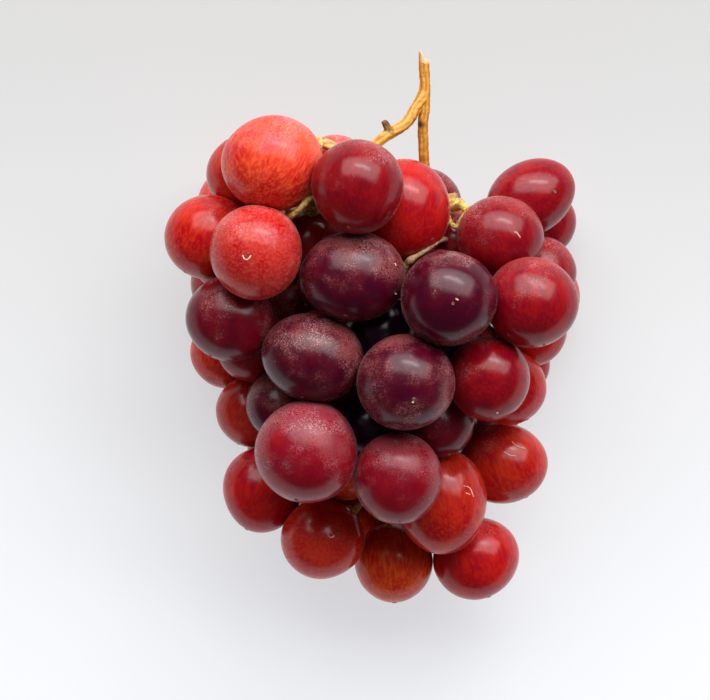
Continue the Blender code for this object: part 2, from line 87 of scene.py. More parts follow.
# %% [markdown]
# ## Small helpers for nodes
#
# A material and a Geometry Nodes tree are both graphs of nodes. The helpers below add one node, set its
# options, and fill its sockets, each with a plain value or with a link from another node's output. A
# socket is named, or numbered where several have the same name, as on a Math node or a Mix node.

# %% Add nodes in one line each


def fill(tree, made, sockets):
    """Fills a node's sockets, each with a plain value or with a link."""
    for key, value in sockets.items():
        socket = made.inputs[key]
        if isinstance(value, bpy.types.NodeSocket):
            tree.links.new(value, socket)
        else:
            socket.default_value = value


def node(tree, kind, options=None, sockets=None):
    made = tree.nodes.new(kind)
    for name, value in (options or {}).items():
        setattr(made, name, value)
    fill(tree, made, sockets or {})
    return made


def math_node(tree, operation, *values, clamp=False):
    """One step of arithmetic on numbers or sockets."""
    options = {"operation": operation, "use_clamp": clamp}
    return node(tree, "ShaderNodeMath", options, dict(enumerate(values))).outputs[0]


def times(tree, first, second):
    return math_node(tree, "MULTIPLY", first, second)


def between(tree, value, low, high):
    """A smooth mask: 0 under the low value, 1 over the high one."""
    sockets = {"Value": value, "From Min": low, "From Max": high}
    return node(tree, "ShaderNodeMapRange", {"interpolation_type": "SMOOTHSTEP"}, sockets).outputs[0]


def blend(tree, share, first, second):
    """Mixes two colours, each a socket or a plain colour."""
    sockets = {"Factor": share, 6: first, 7: second}
    return node(tree, "ShaderNodeMix", {"data_type": "RGBA"}, sockets).outputs[2]


print("helpers for nodes ready")

# %% [markdown]
# Every pattern starts from a place. Object coordinates are the piece's own metres, so a pattern on them
# stays put when the camera moves, and its size can be given in millimetres.

# %% Add places and patterns


def object_place(tree):
    return node(tree, "ShaderNodeTexCoord").outputs["Object"]


def parts_of(tree, vector):
    """The X, Y and Z of a vector."""
    return node(tree, "ShaderNodeSeparateXYZ", None, {0: vector}).outputs


def noise(tree, place, size, detail=2.0, roughness=0.5):
    """Soft noise whose blotches are about a size in millimetres."""
    sockets = {"Vector": place, "Scale": 1 / (size * MM), "Detail": detail, "Roughness": roughness}
    return node(tree, "ShaderNodeTexNoise", None, sockets).outputs["Fac"]


def cells(tree, place, spacing):
    """Distance to the nearest of many scattered spots."""
    sockets = {"Vector": place, "Scale": 1 / (spacing * MM)}
    return node(tree, "ShaderNodeTexVoronoi", None, sockets).outputs["Distance"]


def bumped(tree, height, strength, depth):
    """A bump with a depth in millimetres."""
    sockets = {"Strength": strength, "Distance": depth * MM, "Height": height}
    return node(tree, "ShaderNodeBump", None, sockets).outputs[0]


def new_material(name):
    made = bpy.data.materials.new(name)
    made.use_nodes = True
    return made, made.node_tree, made.node_tree.nodes["Principled BSDF"]


print("helpers for patterns ready")

# %% [markdown]
# ## The table and the light
#
# The bunch lies on a plain white sheet, which is only a stage and no part of the object. The sheet glows
# a little, less at the far side, so the shadow under the bunch stays pale. One large soft light stands
# beyond the cut stem and leans over the bunch. Each grape mirrors it as the broad bright patch on its
# upper half, with a thin bright line from the narrow light in front of it. A pale world fills the
# shadows, and a weak light at the tip of the bunch, which the grapes don't mirror, lifts the lowest ones.

# %% Make the table and the lights
TABLE_SIZE = 8.0
TABLE_SHADER = {
    "Base Color": (0.27, 0.272, 0.275, 1.0), "Roughness": 0.7, "Specular IOR Level": 0.2,
    "Emission Strength": 0.40,
}
FAR_GLOW = (0.87, 0.855, 0.83, 1.0)
NEAR_GLOW = (1.57, 1.60, 1.67, 1.0)
GLOW_CHANGE = 0.12
WORLD_COLOUR = (0.93, 0.96, 1.0, 1.0)
WORLD_STRENGTH = 0.08
AIM = (0.0, 0.0, 0.03)
# The light that the grapes don't mirror
UNSEEN_LIGHT = "tip_fill"
# Each light: its place, its width and height in metres, and its power in watts
LIGHTS = {
    "window": ((0.35, 1.62, 1.60), (4.6, 2.3), 140.0),
    "window_edge": ((0.45, 1.50, 1.45), (1.40, 0.17), 15.0),
    "tip_fill": ((-0.05, -0.95, 0.38), (1.80, 0.70), 2.4),
}


def make_table():
    data = bpy.data.meshes.new("table")
    corner = TABLE_SIZE / 2
    corners = [(-corner, -corner, 0), (corner, -corner, 0), (corner, corner, 0), (-corner, corner, 0)]
    data.from_pydata(corners, [], [(0, 1, 2, 3)])
    paper, tree, shader = new_material("white_table")
    far = parts_of(tree, object_place(tree))["Y"]
    glow = blend(tree, between(tree, far, -GLOW_CHANGE, GLOW_CHANGE), NEAR_GLOW, FAR_GLOW)
    fill(tree, shader, {"Emission Color": glow, **TABLE_SHADER})
    data.materials.append(paper)
    table = bpy.data.objects.new("table", data)
    bpy.context.scene.collection.objects.link(table)


def make_lights():
    for name, (place, size, power) in LIGHTS.items():
        lamp = bpy.data.lights.new(name, "AREA")
        lamp.shape = "RECTANGLE"
        lamp.size, lamp.size_y = size
        lamp.energy = power
        light = bpy.data.objects.new(name, lamp)
        light.location = place
        light.visible_glossy = name != UNSEEN_LIGHT
        light.rotation_euler = (Vector(AIM) - Vector(place)).to_track_quat("-Z", "Y").to_euler()
        bpy.context.scene.collection.objects.link(light)
    world = bpy.data.worlds.new("pale_room")
    world.use_nodes = True
    background = world.node_tree.nodes["Background"]
    background.inputs["Color"].default_value = WORLD_COLOUR
    background.inputs["Strength"].default_value = WORLD_STRENGTH
    bpy.context.scene.world = world
    bpy.context.scene.view_settings.view_transform = "Standard"


make_table()
make_lights()
print("lights", sorted(LIGHTS))

# %% [markdown]
# ## Where the grapes are
#
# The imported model's grapes were placed by a rule, and the same rule runs again here, because each grape
# becomes a piece of its own. First come the grapes that the picture shows. Each row gives a grape's
# middle across and along the bunch, its length and breadth, the turn of its long side in degrees, and the
# greatest height of its middle.

# %% Grapes that the picture shows
# The front layer
FRONT = [
    (22.5, 17.0, 27.0, 26.5, 0, 75.0),
    (-6.0, 22.0, 29.5, 25.5, 0, 75.0),
    (9.0, -8.0, 27.5, 27.0, 0, 74.0),
    (-3.0, 48.0, 26.5, 25.5, 90, 74.0),
    (-33.0, 28.5, 26.5, 26.0, 90, 72.0),
    (-19.0, -27.5, 29.0, 29.0, 0, 60.0),
    (7.5, -35.0, 26.0, 25.0, 90, 60.0),
    (-16.0, -1.0, 29.0, 25.0, -15, 66.0),
    (-28.5, 53.5, 28.5, 27.0, 0, 66.0),
    (46.0, 16.0, 26.0, 25.5, 0, 66.0),
    (33.0, -7.0, 24.0, 23.5, 90, 62.0),
    (-39.5, 10.0, 25.0, 24.5, 0, 58.0),
    (9.5, 42.0, 29.0, 25.5, 90, 60.0),
    (36.0, 33.5, 24.5, 23.0, 0, 60.0),
    (21.0, -42.0, 30.0, 25.5, 90, 45.0),
    (-47.0, 34.5, 24.5, 24.0, 0, 50.0),
    (46.0, 46.0, 26.5, 21.0, 30, 46.0),
    (37.0, -30.0, 26.0, 23.0, 0, 40.0),
    (-31.5, -39.0, 24.5, 22.5, 90, 32.0),
    (-14.5, -52.5, 24.0, 23.0, 0, 22.0),
    (31.0, -57.5, 25.0, 23.5, 20, 16.0),
    (7.0, -60.0, 23.0, 22.5, 90, 12.0),
]

# The second layer, which the front layer partly covers
SECOND = [
    (-26.0, -14.5, 20.5, 20.5, 0, 50.0),
    (-8.0, -30.0, 20.5, 20.5, 0, 30.0),
    (-36.0, 52.0, 23.0, 22.5, 0, 50.0),
    (-11.0, 53.0, 21.0, 21.0, 0, 45.0),
    (-19.0, 31.5, 21.0, 21.0, 0, 50.0),
    (-33.5, 4.0, 21.0, 21.0, 0, 50.0),
    (40.0, -9.5, 21.5, 21.5, 0, 50.0),
    (49.0, 23.0, 20.5, 20.5, 0, 50.0),
    (45.0, 7.5, 20.5, 20.5, 0, 50.0),
    (15.0, 44.5, 20.5, 20.5, 0, 25.0),
    (-33.0, -15.5, 21.0, 21.0, 0, 40.0),
    (-40.5, 0.5, 21.0, 21.0, 0, 10.0),
    (49.0, 38.5, 20.5, 20.5, 0, 12.0),
]

# The deep grapes that show dark between them
DEEP = [
    (41.5, -2.0, 19.0, 19.0, 0, 30.0),
    (-23.0, 12.5, 20.5, 20.5, 0, 45.0),
    (22.5, 33.0, 19.0, 19.0, 0, 50.0),
    (-31.0, -6.5, 19.0, 19.0, 0, 30.0),
    (3.5, 6.0, 22.0, 22.0, 0, 50.0),
    (22.5, 3.0, 21.0, 21.0, 0, 50.0),
    (20.0, -19.5, 20.0, 20.0, 0, 50.0),
    (0.5, -18.5, 20.0, 20.0, 0, 45.0),
    (2.0, -46.5, 17.5, 17.5, 0, 28.0),
    (-10.5, -41.5, 19.0, 19.0, 0, 12.0),
    (-41.5, 27.5, 20.5, 20.5, 0, 35.0),
]

print("grapes read from the picture", len(FRONT + SECOND + DEEP))

# %% [markdown]
# A grape is nearly an ellipsoid. Two of them press on each other where the distance between their middles
# is less than the sum of how far each reaches towards the other, and that needs only a little arithmetic.

# %% Measure the gaps between grapes
# How far grapes may press into each other, and into the table
PRESS = 1.0
SINK = 0.8
LOWERING_STEP = 0.25
# A distance that keeps a grape from counting as its own neighbour
FAR_AWAY = 1e6


def reach(half, axis, direction):
    """How far ellipsoids of the given half length and half breadth reach in a direction."""
    along = np.sum(axis * direction, axis=-1)
    return np.sqrt(half[..., 0] ** 2 * along ** 2 + half[..., 1] ** 2 * (1 - along ** 2))


def gaps(centre, half, axis):
    """The gap between every two grapes, negative where they press, and the direction between them."""
    apart = centre[None, :, :] - centre[:, None, :]
    distance = np.linalg.norm(apart, axis=2) + np.eye(len(centre)) * FAR_AWAY
    direction = apart / distance[..., None]
    own = reach(half[:, None, :], axis[:, None, :], direction)
    other = reach(half[None, :, :], axis[None, :, :], direction)
    return distance - own - other, direction


def lower_until_clear(i, centre, half, axis):
    """Lowers a grape until it only presses on the grapes in front of it."""
    while centre[i, 2] > half[i, 1] - SINK:
        gap, _ = gaps(centre[:i + 1], half[:i + 1], axis[:i + 1])
        if gap[i, :i].min() >= -PRESS:
            return
        centre[i, 2] -= LOWERING_STEP


two_places = np.array([(0.0, 0, 0), (19.0, 0, 0)])
two_gaps, _ = gaps(two_places, np.full((2, 2), 10.0), np.array([(1.0, 0, 0)] * 2))
print("two balls 20 mm across and 19 mm apart have a gap of", two_gaps[0, 1], "mm")

# %% [markdown]
# The rachis is the stem that runs down the middle of the bunch. It is drawn as a smooth curve through a
# few places, and no grape may come too near it.

# %% Draw the rachis
LINE_SPACING = 3.0
RACHIS_ROOM = 4.2
RACHIS = [(14.5, 42.0, 39.5), (8.5, 32.0, 38.0), (3.0, 21.0, 38.0), (1.0, 8.0, 37.0), (1.0, -8.0, 35.0),
          (4.0, -20.0, 31.0), (5.5, -32.0, 26.0), (4.5, -44.0, 17.0)]


def smooth_line(points, spacing):
    """Points about a spacing apart on a smooth curve through the given ones."""
    points = np.array(points, float)
    padded = np.vstack([2 * points[0] - points[1], points, 2 * points[-1] - points[-2]])
    line = []
    for a, b, c, d in zip(padded, padded[1:], padded[2:], padded[3:]):
        count = max(2, int(np.linalg.norm(c - b) / spacing))
        for t in np.arange(count) / count:
            line.append(0.5 * (2 * b + (c - a) * t + (2 * a - 5 * b + 4 * c - d) * t ** 2
                               + (3 * b - a - 3 * c + d) * t ** 3))
    return np.array(line + [points[-1]])


TRUNK = smooth_line(RACHIS, LINE_SPACING)
print("points on the rachis", len(TRUNK))

# %% [markdown]
# The hidden grapes fill the inside and the underside. They are drawn from a fixed seed: each in turn
# takes the place where it leans most closely on three others, and only where the grapes above hide it.

# %% Say where a grape is hidden
HIDDEN_DIAMETER = (20.5, 24.5)
# The rim that has to be covered: its points, its share of a grape's width, and how far under the cover
COVER_POINTS = 12
COVER_RIM = 0.45
COVER_DEPTH = 4.0


def is_covered(places, centre, half):
    """True where grapes above hide a grape at that place from straight above."""
    around = np.linspace(0, 2 * math.pi, COVER_POINTS, endpoint=False)
    rim = COVER_RIM * HIDDEN_DIAMETER[0] * np.stack([np.cos(around), np.sin(around)], axis=1)
    covered = np.ones(len(places), bool)
    for x, y in rim:
        away = np.linalg.norm(places[:, None, :2] + (x, y) - centre[None, :, :2], axis=2)
        over = (away < half.mean(axis=1)) & (centre[None, :, 2] > places[:, None, 2] + COVER_DEPTH)
        covered &= over.any(axis=1)
    return covered


print("points on a rim", COVER_POINTS)

# %% Find places for the hidden grapes
# Places tried on a net, the lowest of them, how far a grape may push others, how closely it leans on three
HIDDEN_NET = 3.0
HIDDEN_FLOOR = 9.0
HIDDEN_PUSH = 1.5
HIDDEN_LEAN = 9.0
SEED = 5


def hidden_places(centre, half):
    """Places for the hidden grapes: each in turn goes where it best leans on three others or the table."""
    random = np.random.default_rng(SEED)
    low = centre.min(axis=0)
    high = centre.max(axis=0)
    nets = [np.arange(a, b, HIDDEN_NET) for a, b in zip((low[0], low[1], HIDDEN_FLOOR), high)]
    net = np.stack(np.meshgrid(*nets, indexing="ij"), axis=-1).reshape(-1, 3)
    net = net[is_covered(net, centre, half)]
    room = np.linalg.norm(net[:, None, :] - TRUNK[None, :, :], axis=2).min(axis=1) - RACHIS_ROOM
    near = np.linalg.norm(net[:, None, :] - centre[None, :, :], axis=2) - half.mean(axis=1)
    near = np.concatenate([near, net[:, 2:] + SINK], axis=1)
    places = []
    while True:
        radius = random.uniform(*HIDDEN_DIAMETER) / 2
        gap = np.sort(near - radius, axis=1)
        fits = (gap[:, 0] > -PRESS - HIDDEN_PUSH) & (room > radius)
        lean = np.where(fits, gap[:, :3].sum(axis=1), np.inf)
        best = int(lean.argmin())
        if lean[best] > HIDDEN_LEAN:
            return places
        places.append((net[best], 2 * radius))
        away = np.linalg.norm(net - net[best], axis=1) - radius
        near = np.concatenate([near, away[:, None]], axis=1)


print("the hidden grapes' seed", SEED)

# %% [markdown]
# Settling pushes grapes apart where they overlap too far, draws near ones together, and lets the low ones
# sink to the table. The grapes that the picture shows may hardly shift sideways. It is a very small
# physics simulation.

# %% Settle the bunch
SETTLE_STEPS = 500
LONGEST_MOVE = 1.0
# How far a seen and a hidden grape may shift sideways
READING_PLAY = 0.8
HIDDEN_PLAY = 2.5
# How near ones draw together, how far a pressed one is pushed back, and how slowly a seen one follows
CLOSE_REACH = 3.0
CLOSE_PULL = 0.12
PUSH_BACK = 0.5
SEEN_SHARE = 0.5
# How a hidden one drifts: inwards, or down where it is low
DRIFT_INWARD = 0.05
DRIFT_DOWN = 0.08
LOW_HEIGHT = 24.0


def settle(centre, half, axis, fixed):
    """Pushes overlapping grapes apart, closes small gaps, and keeps the rachis and the table clear."""
    home = centre[:, :2].copy()
    play = np.where(fixed, READING_PLAY, HIDDEN_PLAY)[:, None]
    rows = np.arange(len(centre))
    for _ in range(SETTLE_STEPS):
        gap, direction = gaps(centre, half, axis)
        pressed = np.clip(-PRESS - gap, 0, None)
        parted = np.where(gap < CLOSE_REACH - PRESS, np.clip(gap + PRESS, 0, None), 0)
        move = np.einsum("ij,ijk->ik", CLOSE_PULL * parted - PUSH_BACK * pressed, direction)
        away = centre[:, None, :] - TRUNK[None, :, :]
        distance = np.linalg.norm(away, axis=2)
        closest = distance.argmin(axis=1)
        outward = away[rows, closest] / distance[rows, closest][:, None]
        inside = np.clip(half[:, 0] + RACHIS_ROOM - distance[rows, closest], 0, None)
        move += PUSH_BACK * outward * inside[:, None]
        low = centre[:, 2] < LOW_HEIGHT
        drift = np.where(low[:, None], (0, 0, -DRIFT_DOWN), -DRIFT_INWARD * outward)
        move += np.where(fixed[:, None], 0, drift)
        move[fixed] *= SEEN_SHARE
        centre += np.clip(move, -LONGEST_MOVE, LONGEST_MOVE)
        centre[:, :2] = home + np.clip(centre[:, :2] - home, -play, play)
        centre[:, 2] = np.maximum(centre[:, 2], half[:, 1] - SINK)


print("steps of settling", SETTLE_STEPS)

# %% [markdown]
# After settling, a few grapes may still hang free. The two grapes nearest to each other across such a
# parting swell a little until they press, so the whole bunch holds together.

# %% Join parted groups
TOUCH = 0.6
SWELL_SPARE = 0.02


def touching_groups(centre, half, axis):
    """Groups of grapes that press on each other, the largest first."""
    gap, _ = gaps(centre, half, axis)
    left = set(range(len(centre)))
    groups = []
    while left:
        group = {min(left)}
        edge = set(group)
        while edge:
            edge = {j for i in edge for j in left if gap[i, j] < -TOUCH} - group
            group |= edge
        left -= group
        groups.append(sorted(group))
    return sorted(groups, key=len, reverse=True)


def swell_to_touch(centre, half, axis):
    """Lets the two grapes nearest to each other across every parted group swell until they press."""
    while True:
        groups = touching_groups(centre, half, axis)
        if len(groups) == 1:
            return
        gap, _ = gaps(centre, half, axis)
        inner = np.array(groups[0])
        outer = np.array(sum(groups[1:], []))
        across = gap[np.ix_(outer, inner)]
        i, j = np.unravel_index(across.argmin(), across.shape)
        growth = (across[i, j] + TOUCH + SWELL_SPARE) / 2
        half[outer[i]] += growth
        half[inner[j]] += growth


print("grapes press by at least", TOUCH, "mm")

# %% [markdown]
# Everything is ready to place the grapes. The middle of the whole bunch's box is then moved to the
# origin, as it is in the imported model.

# %% Place every grape
BUNCH_MIDDLE = (1.00, 7.22)


def placed_grapes():
    """Centres, half sizes and long axes of all the grapes."""
    rows = FRONT + SECOND + DEEP
    centre = np.array([(x, y, top) for x, y, _, _, _, top in rows])
    half = np.array([(length / 2, breadth / 2) for _, _, length, breadth, _, _ in rows])
    turn = np.radians([row[4] for row in rows])
    axis = np.stack([np.cos(turn), np.sin(turn), np.zeros(len(rows))], axis=1)
    for i in range(1, len(rows)):
        lower_until_clear(i, centre, half, axis)
    fixed = np.ones(len(rows), bool)
    for place, diameter in hidden_places(centre, half):
        centre = np.vstack([centre, place])
        half = np.vstack([half, (diameter / 2, diameter / 2)])
        axis = np.vstack([axis, (1.0, 0.0, 0.0)])
        fixed = np.append(fixed, False)
    settle(centre, half, axis, fixed)
    swell_to_touch(centre, half, axis)
    return centre.round(2), half.round(2), axis


def from_middle(places):
    """Moves places across and along the bunch, as they are read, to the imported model's origin."""
    return np.array(places) - (*BUNCH_MIDDLE, 0)


centres, halves, axes = placed_grapes()
centres = from_middle(centres)
seen_count = len(FRONT + SECOND + DEEP)
print("grapes", len(centres), "of which hidden", len(centres) - seen_count)

# %% [markdown]
# ## The form of one grape
#
# Every grape follows one rule, so one Geometry Nodes tree makes them all. It starts from an icosphere,
# which has no poles where faces crowd, stretches it to the grape's length and breadth, makes the stalk
# end a little fuller than the other, and pushes the skin in and out by slow noise, because no grape is a
# perfect ball. The tree's inputs are the sizes, the seed and the place. It ends in Realize Instances and
# Set Material.

# %% Start and end a tree


def new_tree(name, inputs):
    """A Geometry Nodes tree, its input node's sockets, and the identifiers of its named inputs."""
    tree = bpy.data.node_groups.new(name, "GeometryNodeTree")
    tree.interface.new_socket("Geometry", in_out="INPUT", socket_type="NodeSocketGeometry")
    names = {}
    for label, kind in inputs.items():
        names[label] = tree.interface.new_socket(label, in_out="INPUT", socket_type=kind).identifier
    tree.interface.new_socket("Geometry", in_out="OUTPUT", socket_type="NodeSocketGeometry")
    return tree, tree.nodes.new("NodeGroupInput").outputs, names


def end_tree(tree, geometry, material):
    """Ends a tree in smooth shading, Realize Instances and Set Material."""
    smooth = node(tree, "GeometryNodeSetShadeSmooth", None, {"Geometry": geometry}).outputs[0]
    real = node(tree, "GeometryNodeRealizeInstances", None, {"Geometry": smooth}).outputs[0]
    dressed = node(tree, "GeometryNodeSetMaterial", None, {"Geometry": real, "Material": material})
    node(tree, "NodeGroupOutput", None, {0: dressed.outputs[0]})


def vector_math(tree, operation, *values, **sockets):
    filled = {**dict(enumerate(values)), **sockets}
    return node(tree, "ShaderNodeVectorMath", {"operation": operation}, filled).outputs["Vector"]


print("ready to build trees")

# %% Build the tree that grows a grape
FULLER_STALK_END = 0.03
# How far the skin is pushed in and out, and how many lumps fit on a grape
UNEVEN = 0.35
LUMPS = 0.9


def grape_tree():
    tree, given, names = new_tree("grape", {
        "Detail": "NodeSocketInt", "Half Length": "NodeSocketFloat", "Half Breadth": "NodeSocketFloat",
        "Turn": "NodeSocketVector", "Place": "NodeSocketVector", "Seed": "NodeSocketFloat",
        "Skin": "NodeSocketMaterial",
    })
    ball = node(tree, "GeometryNodeMeshIcoSphere", None, {"Radius": 1.0, "Subdivisions": given["Detail"]})
    spot = node(tree, "GeometryNodeInputPosition").outputs[0]
    along = parts_of(tree, spot)["X"]
    fuller = math_node(tree, "MULTIPLY_ADD", along, -FULLER_STALK_END, 1.0)
    breadth = times(tree, given["Half Breadth"], fuller)
    size = node(tree, "ShaderNodeCombineXYZ", None, {
        "X": given["Half Length"], "Y": breadth, "Z": breadth}).outputs[0]
    lump = node(tree, "ShaderNodeTexNoise", {"noise_dimensions": "4D"}, {
        "Vector": spot, "W": given["Seed"], "Scale": LUMPS, "Detail": 1.0}).outputs["Fac"]
    push = math_node(tree, "MULTIPLY_ADD", lump, UNEVEN * 2 * MM, -UNEVEN * MM)
    formed = vector_math(tree, "MULTIPLY", spot, size)
    formed = vector_math(tree, "ADD", formed, vector_math(tree, "SCALE", spot, Scale=push))
    skin = node(tree, "GeometryNodeSetPosition", None, {
        "Geometry": ball.outputs["Mesh"], "Position": formed}).outputs[0]
    turned = node(tree, "GeometryNodeTransform", None, {
        "Geometry": skin, "Rotation": given["Turn"], "Translation": given["Place"]})
    end_tree(tree, turned.outputs[0], given["Skin"])
    return tree, names


GRAPE_TREE, GRAPE_INPUTS = grape_tree()
print("nodes in the grape's tree", len(GRAPE_TREE.nodes))

# %% [markdown]
# A modifier runs the tree on an empty mesh. Its inputs are set by the sockets' identifiers, and the
# evaluated result is copied to a plain mesh, so no modifier is left on the piece.

# %% Run a tree and keep its mesh


def kept_mesh(name, carrier):
    """The plain mesh that a carrier's modifiers make."""
    evaluated = carrier.evaluated_get(bpy.context.evaluated_depsgraph_get())
    mesh = bpy.data.meshes.new_from_object(evaluated)
    bpy.data.objects.remove(carrier)
    mesh.name = name
    return mesh


def new_carrier(name, mesh):
    carrier = bpy.data.objects.new(name, mesh)
    bpy.context.scene.collection.objects.link(carrier)
    return carrier


def grown_mesh(name, tree, names, values, start=None):
    """Runs a tree with the given inputs, on an empty mesh or on a start."""
    carrier = new_carrier(name, start or bpy.data.meshes.new(name))
    modifier = carrier.modifiers.new("tree", "NODES")
    modifier.node_group = tree
    for label, value in values.items():
        modifier[names[label]] = value
    return kept_mesh(name, carrier)


print("ready to grow")

# %% [markdown]
# A finished piece rides on the only body, and the node of the imported model that it stands for is
# hidden. The points of its mesh are read and written as whole lists, which is quick.

# %% Finish a piece, and read and write its points


def new_piece(name, mesh, replaced):
    """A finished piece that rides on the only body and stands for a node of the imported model."""
    piece = bpy.data.objects.new(name, mesh)
    bpy.context.scene.collection.objects.link(piece)
    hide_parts(replaced)
    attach(piece, "root")


def read_vectors(mesh, name):
    values = np.empty(len(mesh.vertices) * 3, np.float32)
    mesh.vertices.foreach_get(name, values)
    return values.reshape(-1, 3).astype(float)


def write_points(mesh, points):
    mesh.vertices.foreach_set("co", points.astype(np.float32).ravel())
    mesh.update()


def set_vectors(mesh, name, values):
    layer = mesh.attributes.new(name, "FLOAT_VECTOR", "POINT")
    layer.data.foreach_set("vector", np.ascontiguousarray(values, dtype=np.float32).ravel())


def set_sizes(mesh, sizes):
    layer = mesh.attributes.new("size", "FLOAT", "POINT")
    layer.data.foreach_set("value", np.array(sizes, np.float32))


print("ready to finish pieces")

# %% [markdown]
# ## Where a grape presses
#
# Where two ripe grapes press on each other, both skins flatten. The flat lies halfway through the
# overlap. Every point of the skin beyond it is moved back to it, with a soft rounding at the edge. The
# table flattens a grape in the same way.

# %% Flatten the skin where it presses
ROUNDING = 0.10
CONTACT_GAP = 0.03


def pressed_back(points, spot, toward):
    """Moves points back to a plane through a spot, where they lie beyond it."""
    beyond = (points - spot) @ toward
    back = ROUNDING * np.logaddexp(0, beyond / ROUNDING)
    return points - back[:, None] * toward


def press_grape(points, number, gap, direction):
    for other in np.flatnonzero(gap[number] < 0):
        toward = direction[number, other]
        half_way = reach(halves[number], axes[number], toward) + gap[number, other] / 2 - CONTACT_GAP
        points = pressed_back(points, centres[number] + toward * half_way, toward)
    lowest = np.array((0, 0, -1.0))
    return pressed_back(points, np.array((0, 0, ROUNDING)), lowest)


GAP, DIRECTION = gaps(centres, halves, axes)
print("places where grapes press", int((GAP < 0).sum() / 2))
print("grapes on the table", int((centres[:, 2] < halves[:, 1]).sum()))

# %% [markdown]
# ## Which way each grape points
#
# A grape hangs from its stalk and carries a small dry scar at the far end, where the flower was. Streaks
# in the skin run from one to the other. Most grapes point away from the middle of the bunch and towards
# its tip. On a few the picture shows the scar, and those are turned to show it too.

# %% Find the far end of each grape
TOWARDS_TIP = np.array((0.0, -1.0, 0.0))
OUTWARD_SHARE = 0.55
SCARS_SEEN = {
    0: (0.09, -0.09, 0.99), 2: (0.19, -0.35, 0.92), 4: (-0.13, -0.08, 0.99), 10: (0.19, -0.73, 0.65),
    16: (0.45, 0.05, 0.89), 19: (0.38, 0.18, 0.91),
}


def far_ends():
    away = centres[:, None, :] - from_middle(TRUNK)[None, :, :]
    closest = np.linalg.norm(away, axis=2).argmin(axis=1)
    outward = away[np.arange(len(centres)), closest]
    outward /= np.linalg.norm(outward, axis=1)[:, None]
    ends = OUTWARD_SHARE * outward + TOWARDS_TIP
    for number, end in SCARS_SEEN.items():
        ends[number] = end
    return ends / np.linalg.norm(ends, axis=1)[:, None]


ENDS = far_ends()
print("grapes whose far end is on their upper side", int((ENDS[:, 2] > 0).sum()))

# %% [markdown]
# ## The colours of the grapes
#
# A bunch ripens unevenly: some grapes are still coral red, many are cherry, and the ripest are plum,
# nearly black. Each tone below is a skin colour, a second colour for its streaks and patches, the colour
# of its bloom, how much bloom it has and how strong its streaks are. Colours are linear, as Blender keeps
# them. The seen grapes' tones were matched, and the hidden ones' are drawn from a fixed seed.

# %% Name the tones
TONES = {
    "coral": ((0.48, 0.005, 0.007), (0.71, 0.088, 0.027), (0.78, 0.20, 0.18), 0.46, 0.7),
    "pink": ((0.44, 0.004, 0.010), (0.61, 0.050, 0.034), (0.76, 0.22, 0.20), 0.52, 1.0),
    "peach": ((0.40, 0.006, 0.008), (0.55, 0.038, 0.016), (0.62, 0.15, 0.115), 0.30, 0.7),
    "amber": ((0.52, 0.016, 0.005), (0.68, 0.085, 0.010), (0.62, 0.18, 0.10), 0.26, 0.8),
    "scarlet": ((0.37, 0.0015, 0.008), (0.54, 0.026, 0.008), (0.56, 0.100, 0.080), 0.30, 0.9),
    "cherry": ((0.30, 0.001, 0.009), (0.46, 0.010, 0.006), (0.50, 0.080, 0.070), 0.32, 0.8),
    "rose": ((0.19, 0.0006, 0.011), (0.28, 0.004, 0.010), (0.25, 0.070, 0.088), 0.55, 0.6),
    "garnet": ((0.18, 0.0006, 0.009), (0.30, 0.004, 0.007), (0.40, 0.075, 0.075), 0.42, 0.7),
    "wine": ((0.100, 0.0005, 0.011), (0.18, 0.002, 0.009), (0.38, 0.080, 0.080), 0.44, 0.6),
    "plum": ((0.050, 0.0004, 0.012), (0.100, 0.001, 0.011), (0.38, 0.105, 0.097), 0.54, 0.5),
    "smoky": ((0.050, 0.0004, 0.012), (0.100, 0.001, 0.011), (0.42, 0.115, 0.105), 0.60, 0.5),
    # painted shade: a near-black tone for the deep grapes that lie in the shade between the others
    "ink": ((0.010, 0.0003, 0.012), (0.022, 0.0005, 0.011), (0.06, 0.010, 0.030), 0.20, 0.3),
}
SEEN_TONES = """
    plum plum smoky garnet pink rose rose plum coral garnet garnet
    wine cherry garnet scarlet scarlet garnet scarlet cherry peach cherry amber
    plum amber peach pink garnet garnet cherry garnet cherry wine peach peach garnet
    cherry wine garnet garnet ink ink wine ink amber garnet cherry
""".split()
HIDDEN_TONES = ("cherry", "garnet", "wine", "plum")
# Hidden grapes whose edges show at the left of the picture
PEEPING_TONES = {60: "cherry", 64: "coral"}
TONE_SEED = 11


def tone_of_each():
    random = np.random.default_rng(TONE_SEED)
    hidden = random.choice(HIDDEN_TONES, len(centres) - seen_count)
    tones = list(SEEN_TONES) + list(hidden)
    for number, tone in PEEPING_TONES.items():
        tones[number] = tone
    return tones


GRAPE_TONES = tone_of_each()
print({tone: GRAPE_TONES.count(tone) for tone in TONES})

# %% [markdown]
# ## The skin
#
# Grape skin is glossy under a dusty wax called bloom. Where fingers or neighbours rubbed it, the wax is
# gone and the skin is dark and shiny, and fine dark dots show through the rest. Where it is thick, it
# stands in pale grains, like frost. The material mixes two skin colours by streaks and patches, lays the
# bloom and the grains over them, and makes the skin rougher there. A little light passes through the
# skin, which is what subsurface scattering does. Each grape's tone comes from attributes on its mesh, so
# one material serves them all.
#
# Every size is in millimetres. Each pair of limits says where a soft mask starts and where it is full.

